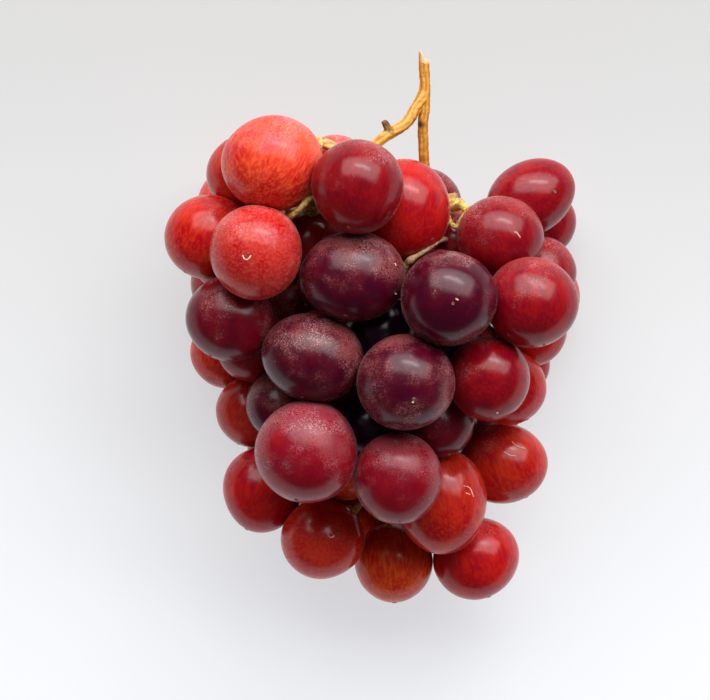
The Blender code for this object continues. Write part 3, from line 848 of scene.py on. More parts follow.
# %% Mix the flesh and lay the bloom
STREAK_SIZE, STREAK_LIMITS = 0.75, (0.44, 0.62)
PATCH_SIZE, PATCH_LIMITS, PATCH_SHARE = 6.0, (0.35, 0.72), 0.60
BLOOM_SIZE, BLOOM_LIMITS = 9.0, (0.84, 1.28)
# More bloom towards the stalk, which faces the light: real bloom, and partly painted light on the lit side
STALKWARD_BLOOM_AND_PAINTED_LIGHT = 0.20
RUBBED_SIZE, RUBBED_LIMITS = 4.8, (0.42, 0.56)
DOT_SPACING, DOT_LIMITS, DOT_DEPTH = 0.80, (0.42, 0.24), 0.85
WEAR_LIMITS, WEAR, LEAST_BLOOM = (0.45, 0.62), 1.05, 0.40


def attribute(tree, name, output="Vector"):
    return node(tree, "ShaderNodeAttribute", {"attribute_name": name}).outputs[output]


def streaked_flesh(tree, place, streaks):
    """The skin under the bloom: two colours, mixed by streaks and patches."""
    streak_place = attribute(tree, "streak_place")
    streak = between(tree, noise(tree, streak_place, STREAK_SIZE, 4, 0.6), *STREAK_LIMITS)
    patch = between(tree, noise(tree, place, PATCH_SIZE), *PATCH_LIMITS)
    share = math_node(tree, "MULTIPLY_ADD", streak, streaks, times(tree, patch, PATCH_SHARE))
    share = math_node(tree, "MINIMUM", share, 1.0)
    return blend(tree, share, attribute(tree, "flesh", "Color"), attribute(tree, "blush", "Color"))


def bloom_cover(tree, place, bloom, stalkward):
    """Where the bloom lies: more of it towards the stalk, the lit side, which is partly painted light."""
    cover = math_node(tree, "MULTIPLY_ADD", stalkward, STALKWARD_BLOOM_AND_PAINTED_LIGHT, bloom)
    cover = math_node(tree, "ADD", noise(tree, place, BLOOM_SIZE, 4, 0.6), cover)
    return between(tree, cover, *BLOOM_LIMITS)


def worn_bloom(tree, place, cover, speck):
    """The bloom with dark dots where it was rubbed, and worn thin between fine specks."""
    rubbed = between(tree, noise(tree, place, RUBBED_SIZE, 3), *RUBBED_LIMITS)
    dot = times(tree, between(tree, cells(tree, place, DOT_SPACING), *DOT_LIMITS), rubbed)
    dust = times(tree, cover, math_node(tree, "MULTIPLY_ADD", dot, -DOT_DEPTH, 1.0))
    wear = math_node(tree, "MULTIPLY_ADD", between(tree, speck, *WEAR_LIMITS), WEAR, LEAST_BLOOM)
    return math_node(tree, "MULTIPLY", dust, wear, clamp=True)


print("bloom patches are about", BLOOM_SIZE, "mm across")

# %% Make the skin's material
SPECK_SIZE = 0.42
BLOOM_STRENGTH = 0.62
FROST_SPACING, FROST_LIMITS = 0.62, (0.40, 0.26)
FROST_PATCH, FROST_PATCH_LIMITS, FROST_COVER_LIMITS = 7.0, (0.46, 0.58), (0.15, 0.60)
FROST_STRENGTH = 0.42
FROST_COLOUR = (0.62, 0.42, 0.44, 1.0)
CLEAN_ROUGHNESS, DUST_ROUGHNESS = 0.22, 0.25
SKIN_SHADER = {
    "Subsurface Weight": 0.7, "Subsurface Radius": (1.0, 0.12, 0.07), "Subsurface Scale": 0.006,
    "IOR": 1.38, "Sheen Weight": 0.14, "Sheen Roughness": 0.18, "Sheen Tint": (1.0, 0.80, 0.84, 1.0),
}


def frost_grains(tree, place, cover):
    """Pale grains in patches, where the bloom lies."""
    patch = between(tree, noise(tree, place, FROST_PATCH), *FROST_PATCH_LIMITS)
    grain = between(tree, cells(tree, place, FROST_SPACING), *FROST_LIMITS)
    return times(tree, times(tree, patch, grain), between(tree, cover, *FROST_COVER_LIMITS))


def skin_material():
    made, tree, shader = new_material("grape_skin_detailed")
    place = object_place(tree)
    habit = parts_of(tree, attribute(tree, "habit"))
    speck = noise(tree, place, SPECK_SIZE)
    cover = bloom_cover(tree, place, habit["X"], habit["Z"])
    dust = worn_bloom(tree, place, cover, speck)
    skin = streaked_flesh(tree, place, habit["Y"])
    dusty = blend(tree, times(tree, dust, BLOOM_STRENGTH), skin, attribute(tree, "dusty", "Color"))
    frost = times(tree, frost_grains(tree, place, cover), FROST_STRENGTH)
    height = math_node(tree, "MULTIPLY_ADD", dust, 0.5, speck)
    fill(tree, shader, {
        "Base Color": blend(tree, frost, dusty, FROST_COLOUR),
        "Roughness": math_node(tree, "MULTIPLY_ADD", dust, DUST_ROUGHNESS, CLEAN_ROUGHNESS),
        "Normal": bumped(tree, height, 0.25, 0.03), **SKIN_SHADER,
    })
    return made


SKIN = skin_material()
print("nodes in the skin", len(SKIN.node_tree.nodes))

# %% [markdown]
# ## Grow every grape
#
# Each grape is grown, pressed against its neighbours, and given its tone as attributes. The place that
# the streaks read is squeezed along the line from stalk to scar, so soft noise there turns into long thin
# streaks.

# %% Colour one grape
STREAK_STRETCH = 0.82
TONE_PLAY = 0.12
# How far apart the grapes' streaks lie in the noise, so that no two are alike
STREAK_SHIFT = 31.0


def colour_grape(mesh, points, number, random):
    flesh, blush, dusty, bloom, streaks = TONES[GRAPE_TONES[number]]
    lighter = 1 + random.uniform(-TONE_PLAY, TONE_PLAY)
    end = ENDS[number]
    local = points - centres[number]
    along = local @ end
    squeezed = local - STREAK_STRETCH * along[:, None] * end + number * STREAK_SHIFT
    stalkward = -along / halves[number, 1]
    colours = {"flesh": np.array(flesh) * lighter, "blush": np.array(blush) * lighter, "dusty": dusty}
    for name, colour in colours.items():
        set_vectors(mesh, name, np.tile(colour, (len(points), 1)))
    habit = np.tile((bloom, streaks), (len(points), 1))
    set_vectors(mesh, "habit", np.column_stack([habit, stalkward]))
    set_vectors(mesh, "streak_place", squeezed * MM)


print("tones waver by a share of", TONE_PLAY)

# %% Grow, press and colour every grape
SEEN_DETAIL = 6
HIDDEN_DETAIL = 5


def grow_grapes():
    random = np.random.default_rng(TONE_SEED)
    triangles = 0
    spots = []
    for number, (centre, half, axis) in enumerate(zip(centres, halves, axes)):
        turn = Vector(axis if axis @ ENDS[number] > 0 else -axis).to_track_quat("X", "Z").to_euler()
        values = {
            "Detail": SEEN_DETAIL if number < seen_count else HIDDEN_DETAIL, "Half Length": half[0] * MM,
            "Half Breadth": half[1] * MM, "Turn": tuple(turn), "Place": tuple(centre * MM),
            "Seed": float(number), "Skin": SKIN,
        }
        mesh = grown_mesh(f"grape_{number:02d}", GRAPE_TREE, GRAPE_INPUTS, values)
        points = press_grape(read_vectors(mesh, "co") / MM, number, GAP, DIRECTION)
        write_points(mesh, points * MM)
        colour_grape(mesh, points, number, random)
        new_piece(mesh.name, mesh, "grapes")
        triangles += len(mesh.polygons)
        spots.append(points[((points - centres[number]) @ ENDS[number]).argmax()])
    return triangles, np.array(spots)


grape_triangles, FAR_SPOTS = grow_grapes()
print("triangles in all the grapes", grape_triangles)

# %% [markdown]
# ## The scars at the far ends
#
# A grape's far end has a dry button with a low ring round it, less than two millimetres across. The same
# small form repeats on every grape, so it is made once and placed on points by Geometry Nodes. Each point
# carries the direction that its button faces and its size as attributes. The rings catch the light as
# tiny glints.

# %% Scatter small forms on points


def scatter_mesh(spots, aims, sizes):
    """Loose points that carry a direction and a size each."""
    mesh = bpy.data.meshes.new("spots")
    mesh.from_pydata([tuple(spot * MM) for spot in spots], [], [])
    set_vectors(mesh, "aim", aims)
    set_sizes(mesh, sizes)
    return mesh


def named_attribute(tree, name, kind):
    return node(tree, "GeometryNodeInputNamedAttribute", {"data_type": kind}, {"Name": name}).outputs[0]


def placed_on_points(tree, points, form):
    """Real copies of a form whose Z axis points along each point's aim."""
    aim = named_attribute(tree, "aim", "FLOAT_VECTOR")
    size = named_attribute(tree, "size", "FLOAT")
    turn = node(tree, "FunctionNodeAlignRotationToVector", {"axis": "Z"}, {"Vector": aim}).outputs[0]
    placed = node(tree, "GeometryNodeInstanceOnPoints", None, {
        "Points": points, "Instance": form, "Rotation": turn, "Scale": size}).outputs[0]
    return node(tree, "GeometryNodeRealizeInstances", None, {"Geometry": placed}).outputs[0]


def pushed_by_noise(tree, geometry, size, amount):
    """Pushes every point along its normal by noise, so that no two copies are alike."""
    spot = node(tree, "GeometryNodeInputPosition").outputs[0]
    normal = node(tree, "GeometryNodeInputNormal").outputs[0]
    lump = math_node(tree, "MULTIPLY_ADD", noise(tree, spot, size), 2.0, -1.0)
    offset = vector_math(tree, "SCALE", normal, Scale=times(tree, lump, amount))
    return node(tree, "GeometryNodeSetPosition", None, {"Geometry": geometry, "Offset": offset}).outputs[0]


def ring_of(tree, points, radius):
    sockets = {"Resolution": points, "Radius": radius}
    return node(tree, "GeometryNodeCurvePrimitiveCircle", None, sockets).outputs[0]


print("ready to scatter")

# %% Build the scar's tree
RING_POINTS, TUBE_POINTS, BUTTON_DETAIL = 14, 6, 2
# How much wider than high the button is
BUTTON_SPREAD = (1.9, 1.9, 1.0)
SCAR_BUMP_SIZE, SCAR_BUMP = 0.6, 0.05


def scar_tree():
    tree, given, names = new_tree("far_scar", {
        "Ring": "NodeSocketFloat", "Thickness": "NodeSocketFloat", "Finish": "NodeSocketMaterial"})
    tube = node(tree, "GeometryNodeCurveToMesh", None, {
        "Curve": ring_of(tree, RING_POINTS, given["Ring"]),
        "Profile Curve": ring_of(tree, TUBE_POINTS, given["Thickness"])})
    dot = node(tree, "GeometryNodeMeshIcoSphere", None, {
        "Radius": given["Thickness"], "Subdivisions": BUTTON_DETAIL})
    button = node(tree, "GeometryNodeTransform", None, {
        "Geometry": dot.outputs[0], "Scale": BUTTON_SPREAD})
    both = node(tree, "GeometryNodeJoinGeometry")
    tree.links.new(tube.outputs[0], both.inputs[0])
    tree.links.new(button.outputs[0], both.inputs[0])
    placed = placed_on_points(tree, given["Geometry"], both.outputs[0])
    end_tree(tree, pushed_by_noise(tree, placed, SCAR_BUMP_SIZE, SCAR_BUMP * MM), given["Finish"])
    return tree, names


SCAR_TREE, SCAR_INPUTS = scar_tree()
print("nodes in the scar's tree", len(SCAR_TREE.nodes))

# %% [markdown]
# Only a far end in the open gets a scar. The scars and the marks that come next share one simple finish,
# which wavers between two colours.

# %% Make the scars
SCAR_SIZES = (0.8, 1.15)
SCAR_CLEARANCE = 0.6
SCAR_RING = 0.42
SCAR_THICKNESS = 0.13
SCAR_DARK, SCAR_BRIGHT = (0.09, 0.020, 0.010, 1.0), (0.34, 0.13, 0.07, 1.0)


def far_ends_in_the_open():
    """True for a far end that no grape but its own comes near."""
    away = FAR_SPOTS[:, None, :] - centres[None, :, :]
    distance = np.linalg.norm(away, axis=2)
    room = distance - reach(halves[None], axes[None], away / distance[..., None])
    np.fill_diagonal(room, np.inf)
    return room.min(axis=1) > SCAR_CLEARANCE


def wavering_material(name, dark, bright, size, detail, roughness):
    made, tree, shader = new_material(name)
    shade = between(tree, noise(tree, object_place(tree), size, detail), 0.35, 0.65)
    fill(tree, shader, {"Base Color": blend(tree, shade, dark, bright), "Roughness": roughness})
    return made


def make_scars():
    free = far_ends_in_the_open()
    random = np.random.default_rng(TONE_SEED)
    sizes = random.uniform(*SCAR_SIZES, free.sum())
    finish = wavering_material("dry_scar", SCAR_DARK, SCAR_BRIGHT, 0.5, 3, 0.25)
    values = {"Ring": SCAR_RING * MM, "Thickness": SCAR_THICKNESS * MM, "Finish": finish}
    start = scatter_mesh(FAR_SPOTS[free], ENDS[free], sizes)
    mesh = grown_mesh("far_scars", SCAR_TREE, SCAR_INPUTS, values, start)
    new_piece("far_scars", mesh, "grapes")
    return int(free.sum())


print("scars in the open", make_scars())

# %% [markdown]
# ## Scratches and dried drops, with painted glints
#
# Small pale marks lie on a few grapes: short scratches, dried drops, and the lip of a scar. Their pale
# colour is partly painted highlight, for the glints on them.
# Each is a line of places across and along the bunch. The line is lifted onto its grape and becomes a
# thin tube.

# %% Lift a line onto its grape
# Each mark: its grape, its half thickness, and its places as the picture shows them
MARKS = [
    (4, 0.20, [(-35.7, 28.1), (-35.1, 27.0), (-34.2, 27.0), (-33.3, 28.0)]),
    (0, 0.20, [(23.3, 16.0), (24.1, 15.6)]),
    (2, 0.17, [(11.3, -12.7), (11.8, -12.7)]),
    (10, 0.17, [(35.1, -15.8), (35.5, -15.8)]),
    (1, 0.20, [(6.6, 26.0), (6.9, 25.3)]),
    (1, 0.20, [(6.6, 17.6), (7.1, 17.4)]),
    (36, 0.45, [(-18.7, 15.2), (-17.8, 14.3)]),
    (17, 0.13, [(40.2, -24.3), (41.8, -25.6), (44.1, -26.3)]),
    (17, 0.13, [(37.9, -27.1), (39.5, -28.1), (41.3, -28.3)]),
    (14, 0.15, [(26.0, -36.5), (27.9, -37.2), (29.0, -39.6)]),
    (14, 0.13, [(26.8, -38.5), (28.0, -39.0)]),
    (19, 0.15, [(-12.4, -50.3), (-11.4, -51.3), (-10.3, -50.8)]),
    (13, 0.14, [(40.1, 34.8), (40.8, 34.7), (41.8, 33.3)]),
]
MARK_STEP = 0.25
# How far a mark's middle stands off the skin, as a share of its half thickness
MARK_LIFT = 0.2


def height_on(number, x, y):
    """Height of a grape's skin above a place, for a grape that lies level."""
    away = np.array((x, y)) - centres[number, :2]
    along = away @ axes[number, :2]
    side = away @ np.array((-axes[number, 1], axes[number, 0]))
    left = 1 - (along / halves[number, 0]) ** 2 - (side / halves[number, 1]) ** 2
    return centres[number, 2] + halves[number, 1] * max(left, 0) ** 0.5


def lifted_marks():
    lines = []
    for number, size, places in MARKS:
        flat = from_middle(smooth_line([(x, y, 0.0) for x, y in places], MARK_STEP))
        lines.append(([(x, y, height_on(number, x, y) + MARK_LIFT * size) for x, y, _ in flat], size))
    return lines


MARK_LINES = lifted_marks()
print("marks", len(MARK_LINES))

# %% [markdown]
# One more tree turns any such lines into tubes. Each point carries the tube's half thickness there, so a
# tube can swell and thin. The small stalks further down use it too.

# %% Turn lines into tubes
TUBE_SIDES = 10
# Pale colours of the marks: partly real scratch and drop colour, partly painted highlight for their glints
MARK_PAINTED_GLINT_DARK, MARK_PAINTED_GLINT_BRIGHT = (0.70, 0.30, 0.22, 1.0), (0.95, 0.80, 0.70, 1.0)


def line_mesh(lines):
    """One mesh of edges, with the half thickness of each line on its points."""
    spots, edges, sizes = [], [], []
    for line, size in lines:
        edges += [(len(spots) + step, len(spots) + step + 1) for step in range(len(line) - 1)]
        spots += [tuple(np.array(spot) * MM) for spot in line]
        sizes += list(np.broadcast_to(size, len(line)) * MM)
    mesh = bpy.data.meshes.new("lines")
    mesh.from_pydata(spots, edges, [])
    set_sizes(mesh, sizes)
    return mesh


def tube_tree():
    tree, given, names = new_tree("tubes", {"Finish": "NodeSocketMaterial"})
    lines = node(tree, "GeometryNodeMeshToCurve", None, {"Mesh": given["Geometry"]}).outputs[0]
    tube = node(tree, "GeometryNodeCurveToMesh", None, {
        "Curve": lines, "Profile Curve": ring_of(tree, TUBE_SIDES, 1.0),
        "Scale": named_attribute(tree, "size", "FLOAT"), "Fill Caps": True})
    end_tree(tree, tube.outputs[0], given["Finish"])
    return tree, names


TUBE_TREE, TUBE_INPUTS = tube_tree()


def make_tubes(name, lines, finish, replaced):
    mesh = grown_mesh(name, TUBE_TREE, TUBE_INPUTS, {"Finish": finish}, line_mesh(lines))
    new_piece(name, mesh, replaced)
    return len(mesh.polygons)


mark_and_painted_glint_finish = wavering_material("dried_mark_and_painted_glint", MARK_PAINTED_GLINT_DARK, MARK_PAINTED_GLINT_BRIGHT, 0.4, 2, 0.2)
print("faces of the marks", make_tubes("skin_marks_and_painted_glints", MARK_LINES, mark_and_painted_glint_finish, "grapes"))

# %% [markdown]
# ## The stem
#
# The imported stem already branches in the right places, so its form is kept. A copy of its mesh is merged,
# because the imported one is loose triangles, and a voxel remesh turns the faceted tubes into one even
# skin. Smoothing rounds the joints. It also thins the stem a little, which the carving gives back.

# %% Remesh the stem
MERGE_DISTANCE = 0.001
VOXEL = 0.32
STEM_MODIFIERS = {
    "REMESH": {"mode": "VOXEL", "voxel_size": VOXEL * MM, "use_smooth_shade": True},
    "SMOOTH": {"factor": 0.5, "iterations": 5},
    "TRIANGULATE": {},
}


def remeshed_stem():
    merged = bmesh.new()
    merged.from_mesh(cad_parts["stem"].data)
    bmesh.ops.remove_doubles(merged, verts=merged.verts, dist=MERGE_DISTANCE * MM)
    copy = bpy.data.meshes.new("stem_copy")
    merged.to_mesh(copy)
    merged.free()
    carrier = new_carrier("woody_stem", copy)
    for kind, values in STEM_MODIFIERS.items():
        modifier = carrier.modifiers.new(kind.lower(), kind)
        for key, value in values.items():
            setattr(modifier, key, value)
    return kept_mesh("woody_stem", carrier)


stem_mesh = remeshed_stem()
print("triangles in the stem", len(stem_mesh.polygons))

# %% [markdown]
# ## Which branch a point of the stem is on
#
# The wood's grooves and grain run along each branch, so every point of the mesh has to know its branch,
# how far along it lies and at which angle round it. The branches that the picture shows are the same
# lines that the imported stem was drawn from. A KD tree finds the nearest spot on them quickly. Each has
# its own tint, because the cut stalk is golden, the torn ends are lemon and the small branches inside are
# tan.

# %% Name the branches
# Each branch: its places and its tint
WOODY = {
    "peduncle": ([(15.0, 85.0, 49.0), (15.3, 72.0, 48.5), (14.7, 65.6, 48.0), (15.0, 57.0, 46.0),
                  (15.4, 50.0, 42.5), (14.5, 42.0, 39.5), (8.5, 32.0, 38.0)], (0.66, 0.27, 0.014)),
    "shoulder": ([(15.2, 74.0, 48.6), (12.4, 69.8, 50.0), (11.3, 67.5, 50.5), (9.3, 65.3, 51.5),
                  (6.8, 63.6, 53.0), (4.0, 61.9, 54.5), (-1.5, 57.8, 60.5), (-8.0, 56.0, 63.5)],
                 (0.70, 0.32, 0.030)),
    "knob": ([(-11.5, 58.0, 62.5), (-14.4, 59.3, 62.0)], (0.80, 0.42, 0.13)),
    "shoulder_stub": ([(5.4, 63.0, 53.7), (4.5, 64.8, 54.6), (3.6, 66.4, 55.0)], (0.36, 0.17, 0.035)),
    "middle_lateral": ([(-8.0, 56.0, 63.5), (-13.0, 50.5, 60.5), (-16.7, 46.3, 57.0), (-17.8, 43.2, 55.5),
                        (-20.2, 40.8, 55.0), (-23.5, 38.4, 55.5)], (0.74, 0.42, 0.13)),
    "middle_stub": ([(-17.8, 43.2, 55.5), (-16.4, 42.0, 56.2), (-15.2, 41.2, 56.4)], (0.80, 0.55, 0.16)),
    "empty_receptacle": ([(15.2, 46.5, 41.0), (18.5, 43.4, 39.4), (21.5, 42.8, 39.2), (24.2, 42.4, 39.8)],
                         (0.80, 0.56, 0.10)),
    "right_pedicel": ([(13.4, 39.6, 39.2), (18.6, 37.6, 40.0), (22.3, 37.6, 42.0), (24.6, 37.2, 44.5),
                       (26.0, 39.8, 48.0), (27.4, 41.2, 51.0)], (0.74, 0.48, 0.09)),
    "tan_lateral": ([(10.6, 35.6, 38.5), (16.2, 34.4, 40.5), (18.9, 32.5, 44.0), (17.2, 30.3, 46.0),
                     (13.8, 28.3, 47.0), (10.2, 26.8, 47.0), (9.0, 22.6, 47.5)], (0.44, 0.24, 0.12)),
}
INNER_TINT = np.array((0.40, 0.22, 0.055))
print("branches", list(WOODY))

# %% Find the nearest branch
LINE_STEP = 0.4


def branch_spots():
    """Spots along the branches: place, direction, distance from the start, and tint."""
    rows = []
    for points, tint in WOODY.values():
        line = from_middle(smooth_line(points, LINE_STEP))
        steps = np.gradient(line, axis=0)
        lengths = np.linalg.norm(steps, axis=1)
        along = np.cumsum(lengths)
        for spot, step, length, distance in zip(line, steps, lengths, along):
            rows.append((*spot, *(step / length), distance, *tint))
    return np.array(rows)


def nearest_rows(points, rows):
    """For each point, the number of the nearest spot."""
    tree = KDTree(len(rows))
    for number, row in enumerate(rows):
        tree.insert(row[:3], number)
    tree.balance()
    return np.array([tree.find(point)[1] for point in points])


SPOTS = branch_spots()
print("spots on the branches", len(SPOTS))

# %% [markdown]
# ## Grooves, knobs and the torn tip
#
# Dry vine wood shrinks into long grooves. A wave round the branch makes them, and slow noise bends them a
# little. Knobs come from noise alone. The cut tip is drawn out to a splinter on one side, as it tore when
# it was cut.

# %% Lay grooves round the branches
BRANCH_REACH = 3.2
GROOVES = 6
GROOVE_BEND, GROOVE_BEND_SIZE = 4.0, 6.0
# How much the ridges between the grooves stand out
RIDGE_SHARE = 0.35
# Spreads the branches apart in the noise, so that no two bend alike
BRANCH_SHIFT = 90


def noise_at(points, size):
    return np.array([value_noise(Vector(point / size)) for point in points])


def round_branches(points):
    """For each point: its nearest spot, how close it is, how far along, and its angle round the branch."""
    near = SPOTS[nearest_rows(points, SPOTS)]
    heading = near[:, 3:6]
    away = points - near[:, :3]
    closeness = np.clip(BRANCH_REACH - np.linalg.norm(away, axis=1), 0, 1)
    along = near[:, 6] + np.sum(away * heading, axis=1)
    up = np.array((0.0, 0.0, 1.0)) - heading[:, 2:] * heading
    across = np.cross(heading, up)
    angle = np.arctan2(np.sum(away * up, axis=1), np.sum(away * across, axis=1))
    return near, closeness, along, angle


def groove_wave(near, along, angle):
    places = np.stack([along, np.zeros(len(along)), near[:, 7] * BRANCH_SHIFT], axis=1)
    wave = np.cos(GROOVES * angle + GROOVE_BEND * noise_at(places, GROOVE_BEND_SIZE))
    return np.where(wave < 0, wave, RIDGE_SHARE * wave)


print("grooves round a branch", GROOVES)

# %% Find the dark knots and the painted shade of the grooves
# Each knot or crack: its place, its reach and how dark it is
KNOTS = [
    ((13.9, 65.6, 49.2), 1.4, 1.0), ((4.2, 65.6, 55.0), 1.3, 0.9), ((4.2, 64.0, 55.0), 0.9, 0.5),
    ((-13.0, 57.6, 63.0), 1.5, 0.8), ((23.5, 40.6, 40.5), 1.9, 0.9), ((-16.4, 40.2, 56.0), 1.3, 0.9),
    ((-20.5, 38.6, 54.0), 1.6, 0.6), ((12.2, 66.6, 51.5), 1.0, 0.5), ((16.0, 60.0, 47.5), 1.2, 0.35),
]
KNOT_EDGE = 1.3
# painted shade: how much darker the grooves are painted
GROOVE_PAINTED_SHADE = 0.45


def painted_groove_shade_and_knots(points, groove, closeness):
    dark = GROOVE_PAINTED_SHADE * np.clip(-groove, 0, 1) * closeness
    for place, size, strength in KNOTS:
        distance = np.linalg.norm(points - from_middle(place), axis=1)
        dark = np.maximum(dark, strength * np.clip(KNOT_EDGE - distance / size, 0, 1))
    return dark


print("knots", len(KNOTS))

# %% Carve the stem
GROOVE_DEPTH = 0.13
KNOB_SIZE, KNOB_HEIGHT = 1.5, 0.16
# Gives back what smoothing took
REGROWTH = 0.22
# The torn tip: where it starts, its length, and the line across it where its splinter starts
TIP_START, TIP_LENGTH, TIP_MIDDLE = 75.3, 2.0, 13.7
# How far the splinter is drawn out, the width of its edge, and the size and depth of its ragged end
SPLINTER, SPLINTER_EDGE, RAGGED = 1.5, 0.5, 0.5
# The grain's place: squeezed along a branch, wrapped round it, and plain inside the bunch
GRAIN_ALONG, GRAIN_ROUND, GRAIN_INSIDE = 0.14, 1.4, 0.6


def carve_stem(mesh):
    points = read_vectors(mesh, "co") / MM
    near, closeness, along, angle = round_branches(points)
    groove = groove_wave(near, along, angle)
    push = GROOVE_DEPTH * groove * closeness + KNOB_HEIGHT * noise_at(points, KNOB_SIZE)
    # Finer knobs, half as large and half as high, and the thickness that smoothing took
    push += 0.5 * KNOB_HEIGHT * noise_at(points, 0.5 * KNOB_SIZE) + REGROWTH
    carved = points + read_vectors(mesh, "normal") * push[:, None]
    tip = np.clip((points[:, 1] - TIP_START) / TIP_LENGTH, 0, 1)
    torn = SPLINTER * np.clip((TIP_MIDDLE - points[:, 0]) / SPLINTER_EDGE, -0.9, 1.0)
    carved[:, 1] += tip * (torn + RAGGED * noise_at(points, RAGGED))
    write_points(mesh, carved * MM)
    inner = GRAIN_INSIDE * points
    wrapped = [GRAIN_ALONG * along, GRAIN_ROUND * np.cos(angle), GRAIN_ROUND * np.sin(angle)]
    share = closeness[:, None]
    set_vectors(mesh, "tint", INNER_TINT + (near[:, 7:10] - INNER_TINT) * share)
    set_vectors(mesh, "grain_place", (inner + (np.stack(wrapped, axis=1) - inner) * share) * MM)
    # The first mark is the painted shade in the grooves together with the dark knots
    set_vectors(mesh, "marks", np.stack([painted_groove_shade_and_knots(points, groove, closeness), tip, closeness], axis=1))
    return int((groove < 0).sum())


print("points in grooves", carve_stem(stem_mesh))

# %% [markdown]
# ## The wood
#
# The wood is satin, golden and streaked along its grain, with brown specks and dark knots, and pale pink
# where the tip is freshly torn. The grooves are painted darker as shade, in the same layer as the knots.
# The streaks read a place that is squeezed along each branch, as the grapes' streaks do.

# %% Make the wood's material
GRAIN_SIZE = 0.55
# Each layer on the wood: how much of it is laid on, and its colour
WOOD_LAYERS = {
    "light grain": (0.35, (0.86, 0.52, 0.16, 1.0)),
    "brown grain": (0.50, (0.26, 0.075, 0.012, 1.0)),
    "speck": (0.70, (0.13, 0.035, 0.010, 1.0)),
    # this layer lays the dark knots and also the painted shade in the grooves
    "knot": (1.00, (0.045, 0.016, 0.008, 1.0)),
    "torn tip": (0.65, (0.88, 0.56, 0.36, 1.0)),
}


def wood_material():
    made, tree, shader = new_material("vine_wood")
    marks = parts_of(tree, attribute(tree, "marks"))
    grain_place = attribute(tree, "grain_place")
    grain = noise(tree, grain_place, GRAIN_SIZE, 4, 0.65)
    masks = {
        "light grain": between(tree, grain, 0.50, 0.72),
        "brown grain": between(tree, noise(tree, grain_place, 0.9, 3, 0.6), 0.52, 0.68),
        "speck": between(tree, noise(tree, object_place(tree), 0.6, 3, 0.6), 0.60, 0.70),
        "knot": marks["X"], "torn tip": marks["Y"],
    }
    colour = attribute(tree, "tint", "Color")
    for name, (strength, over) in WOOD_LAYERS.items():
        colour = blend(tree, times(tree, masks[name], strength), colour, over)
    fill(tree, shader, {
        "Base Color": colour, "Roughness": math_node(tree, "MULTIPLY_ADD", grain, 0.30, 0.38),
        "Normal": bumped(tree, grain, 0.5, 0.06),
    })
    return made


stem_mesh.materials.clear()
stem_mesh.materials.append(wood_material())
new_piece("woody_stem", stem_mesh, "stem")

# %% [markdown]
# ## Where the stalks meet the grapes
#
# Each small stalk widens into a knobbly disc that holds the grape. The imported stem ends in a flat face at
# every grape, so those faces say where the discs go: they lie just off the skin and face the grape's
# middle. Where a grape was pulled off, the disc stays on the stalk, and the picture shows three of those.

# %% Find the ends of the stalks
# How squarely a stalk's end faces its grape, and how far from the skin it lies
END_FACE_LEAN = 0.985
END_FACE_GAP = (0.6, 1.6)


def stalk_ends():
    """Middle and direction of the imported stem's flat end at each grape."""
    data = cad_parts["stem"].data
    middles = np.array([face.center for face in data.polygons]) / MM
    normals = np.array([face.normal for face in data.polygons])
    spots, aims = [], []
    for centre, half, axis in zip(centres, halves, axes):
        toward = centre - middles
        distance = np.linalg.norm(toward, axis=1)
        toward /= distance[:, None]
        gap = distance - reach(half, axis, toward)
        facing = np.sum(toward * normals, axis=1)
        fits = (facing > END_FACE_LEAN) & (gap > END_FACE_GAP[0]) & (gap < END_FACE_GAP[1])
        if fits.any():
            best = np.where(fits, facing, 0).argmax()
            spots.append(middles[best] + toward[best] * gap[best])
            aims.append(toward[best])
    return np.array(spots), np.array(aims)


STALK_ENDS, STALK_AIMS = stalk_ends()
print("stalk ends found", len(STALK_ENDS), "of", len(centres))

# %% Make the discs
DISC_RADIUS = 1.9
DISC_FLATNESS = 0.42
DISC_SEGMENTS, DISC_RINGS = 20, 12
# Large and small knobs: their size, and how far they stand out
DISC_KNOBS = ((1.1, 0.75), (0.5, 0.20))
# Each bare disc: its place, the way it faces, and its size
BARE_DISCS = [
    ((-15.0, 59.6, 62.2), (-0.8, 0.2, 0.6), 1.15), ((24.9, 42.4, 40.2), (0.7, 0.0, 0.7), 1.35),
    ((-15.0, 41.0, 56.6), (0.8, -0.4, 0.4), 0.70),
]
# Dark and bright colours of the green-gold stalks
GREEN_GOLD = (0.42, 0.24, 0.045, 1.0), (0.80, 0.58, 0.16, 1.0)
STALK_SPOT = (0.10, 0.035, 0.012, 1.0)


def disc_tree():
    tree, given, names = new_tree("receptacle", {
        "Radius": "NodeSocketFloat", "Finish": "NodeSocketMaterial"})
    ball = node(tree, "GeometryNodeMeshUVSphere", None, {
        "Segments": DISC_SEGMENTS, "Rings": DISC_RINGS, "Radius": given["Radius"]})
    flat = node(tree, "GeometryNodeTransform", None, {
        "Geometry": ball.outputs["Mesh"], "Scale": (1.0, 1.0, DISC_FLATNESS)})
    knobbly = placed_on_points(tree, given["Geometry"], flat.outputs[0])
    for size, amount in DISC_KNOBS:
        knobbly = pushed_by_noise(tree, knobbly, size, amount * MM)
    end_tree(tree, knobbly, given["Finish"])
    return tree, names


def stalk_material(name, dark, bright):
    made, tree, shader = new_material(name)
    place = object_place(tree)
    shade = between(tree, noise(tree, place, 0.7, 4, 0.6), 0.38, 0.62)
    spot = times(tree, between(tree, noise(tree, place, 0.9), 0.60, 0.66), 0.8)
    colour = blend(tree, spot, blend(tree, shade, dark, bright), STALK_SPOT)
    fill(tree, shader, {"Base Color": colour, "Roughness": 0.55})
    return made


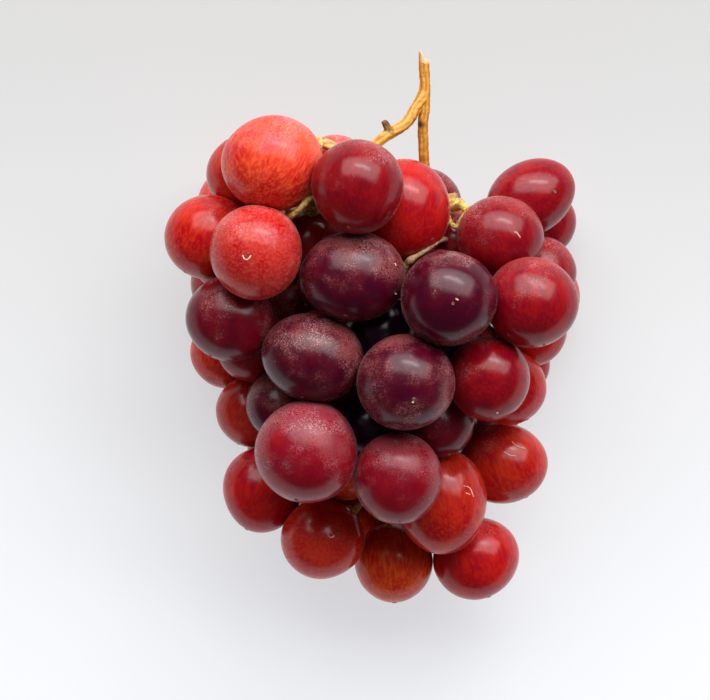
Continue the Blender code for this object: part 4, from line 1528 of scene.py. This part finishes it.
def make_discs():
    places, aims, bare_sizes = zip(*BARE_DISCS)
    spots = np.vstack([STALK_ENDS, from_middle(places)])
    sizes = [1.0] * len(STALK_ENDS) + list(bare_sizes)
    tree, names = disc_tree()
    values = {"Radius": DISC_RADIUS * MM, "Finish": stalk_material("stalk_disc", *GREEN_GOLD)}
    start = scatter_mesh(spots, np.vstack([STALK_AIMS, aims]), sizes)
    new_piece("stalk_discs", grown_mesh("stalk_discs", tree, names, values, start), "stem")
    return len(spots)


print("discs", make_discs())

# %% [markdown]
# ## Small stalks in the openings
#
# In a few openings between the grapes the picture shows a thin stalk. Both ends of each one lie in the
# stem or in a grape, so nothing hangs free from any side. The tree that made the scratches makes these
# too, with a half thickness for every place. Slow noise swells and thins them. One is in the shade, so it
# is a piece of its own whose darker tan colours are painted shade.

# %% Make the small stalks
# Places along each stalk, with its half thickness there
SMALL_STALKS = [
    [(20.0, 38.2, 41.0, 0.70), (21.6, 39.7, 46.0, 0.70), (21.9, 39.2, 50.5, 0.70),
     (22.6, 37.4, 51.0, 0.75), (24.2, 36.6, 51.4, 0.80), (25.4, 38.6, 52.0, 0.70),
     (26.8, 40.6, 53.0, 0.65), (28.4, 42.0, 53.6, 0.70)],
    [(-13.0, 50.5, 60.5, 1.00), (-14.4, 48.4, 64.5, 1.10), (-16.0, 46.3, 68.0, 1.10),
     (-17.5, 44.2, 70.2, 1.05), (-19.0, 42.2, 71.0, 1.00), (-21.0, 40.3, 70.5, 0.95),
     (-22.8, 38.9, 68.0, 1.05), (-24.0, 37.9, 62.0, 1.00), (-23.6, 38.4, 56.0, 1.00)],
]
TAN_STALK = [
    (21.2, 33.0, 48.8, 0.80), (20.4, 33.0, 54.0, 0.70), (18.9, 32.4, 58.6, 0.70), (17.2, 31.3, 61.0, 0.75),
    (15.6, 30.0, 62.2, 0.65), (13.6, 28.7, 62.8, 0.70), (11.2, 27.2, 62.6, 0.95), (9.6, 25.6, 61.4, 1.00),
    (9.1, 22.9, 59.0, 0.50), (9.2, 22.7, 53.0, 0.50), (9.0, 22.6, 47.5, 0.60),
]
# painted shade: darker, greyer copies of the green-gold stalk colours, for the stalk that lies in the shade
SHADE_PAINTED_TAN = (0.22, 0.11, 0.050, 1.0), (0.50, 0.33, 0.17, 1.0)
STALK_STEP = 0.3
SWELLING, SWELLING_SIZE = 0.25, 1.2


def make_stalks(name, stalks, finish):
    lines = []
    for stalk in stalks:
        line = smooth_line(stalk, STALK_STEP)
        places = from_middle(line[:, :3])
        lines.append((places, line[:, 3] * (1 + SWELLING * noise_at(places, SWELLING_SIZE))))
    return make_tubes(name, lines, finish, "stem")


small_finish = stalk_material("small_stalk", *GREEN_GOLD)
shade_painted_tan_finish = stalk_material("shade_painted_tan_stalk", *SHADE_PAINTED_TAN)
print("faces of the small stalks", make_stalks("small_stalks", SMALL_STALKS, small_finish))
print("faces of the tan stalk", make_stalks("shade_painted_tan_stalk", [TAN_STALK], shade_painted_tan_finish))
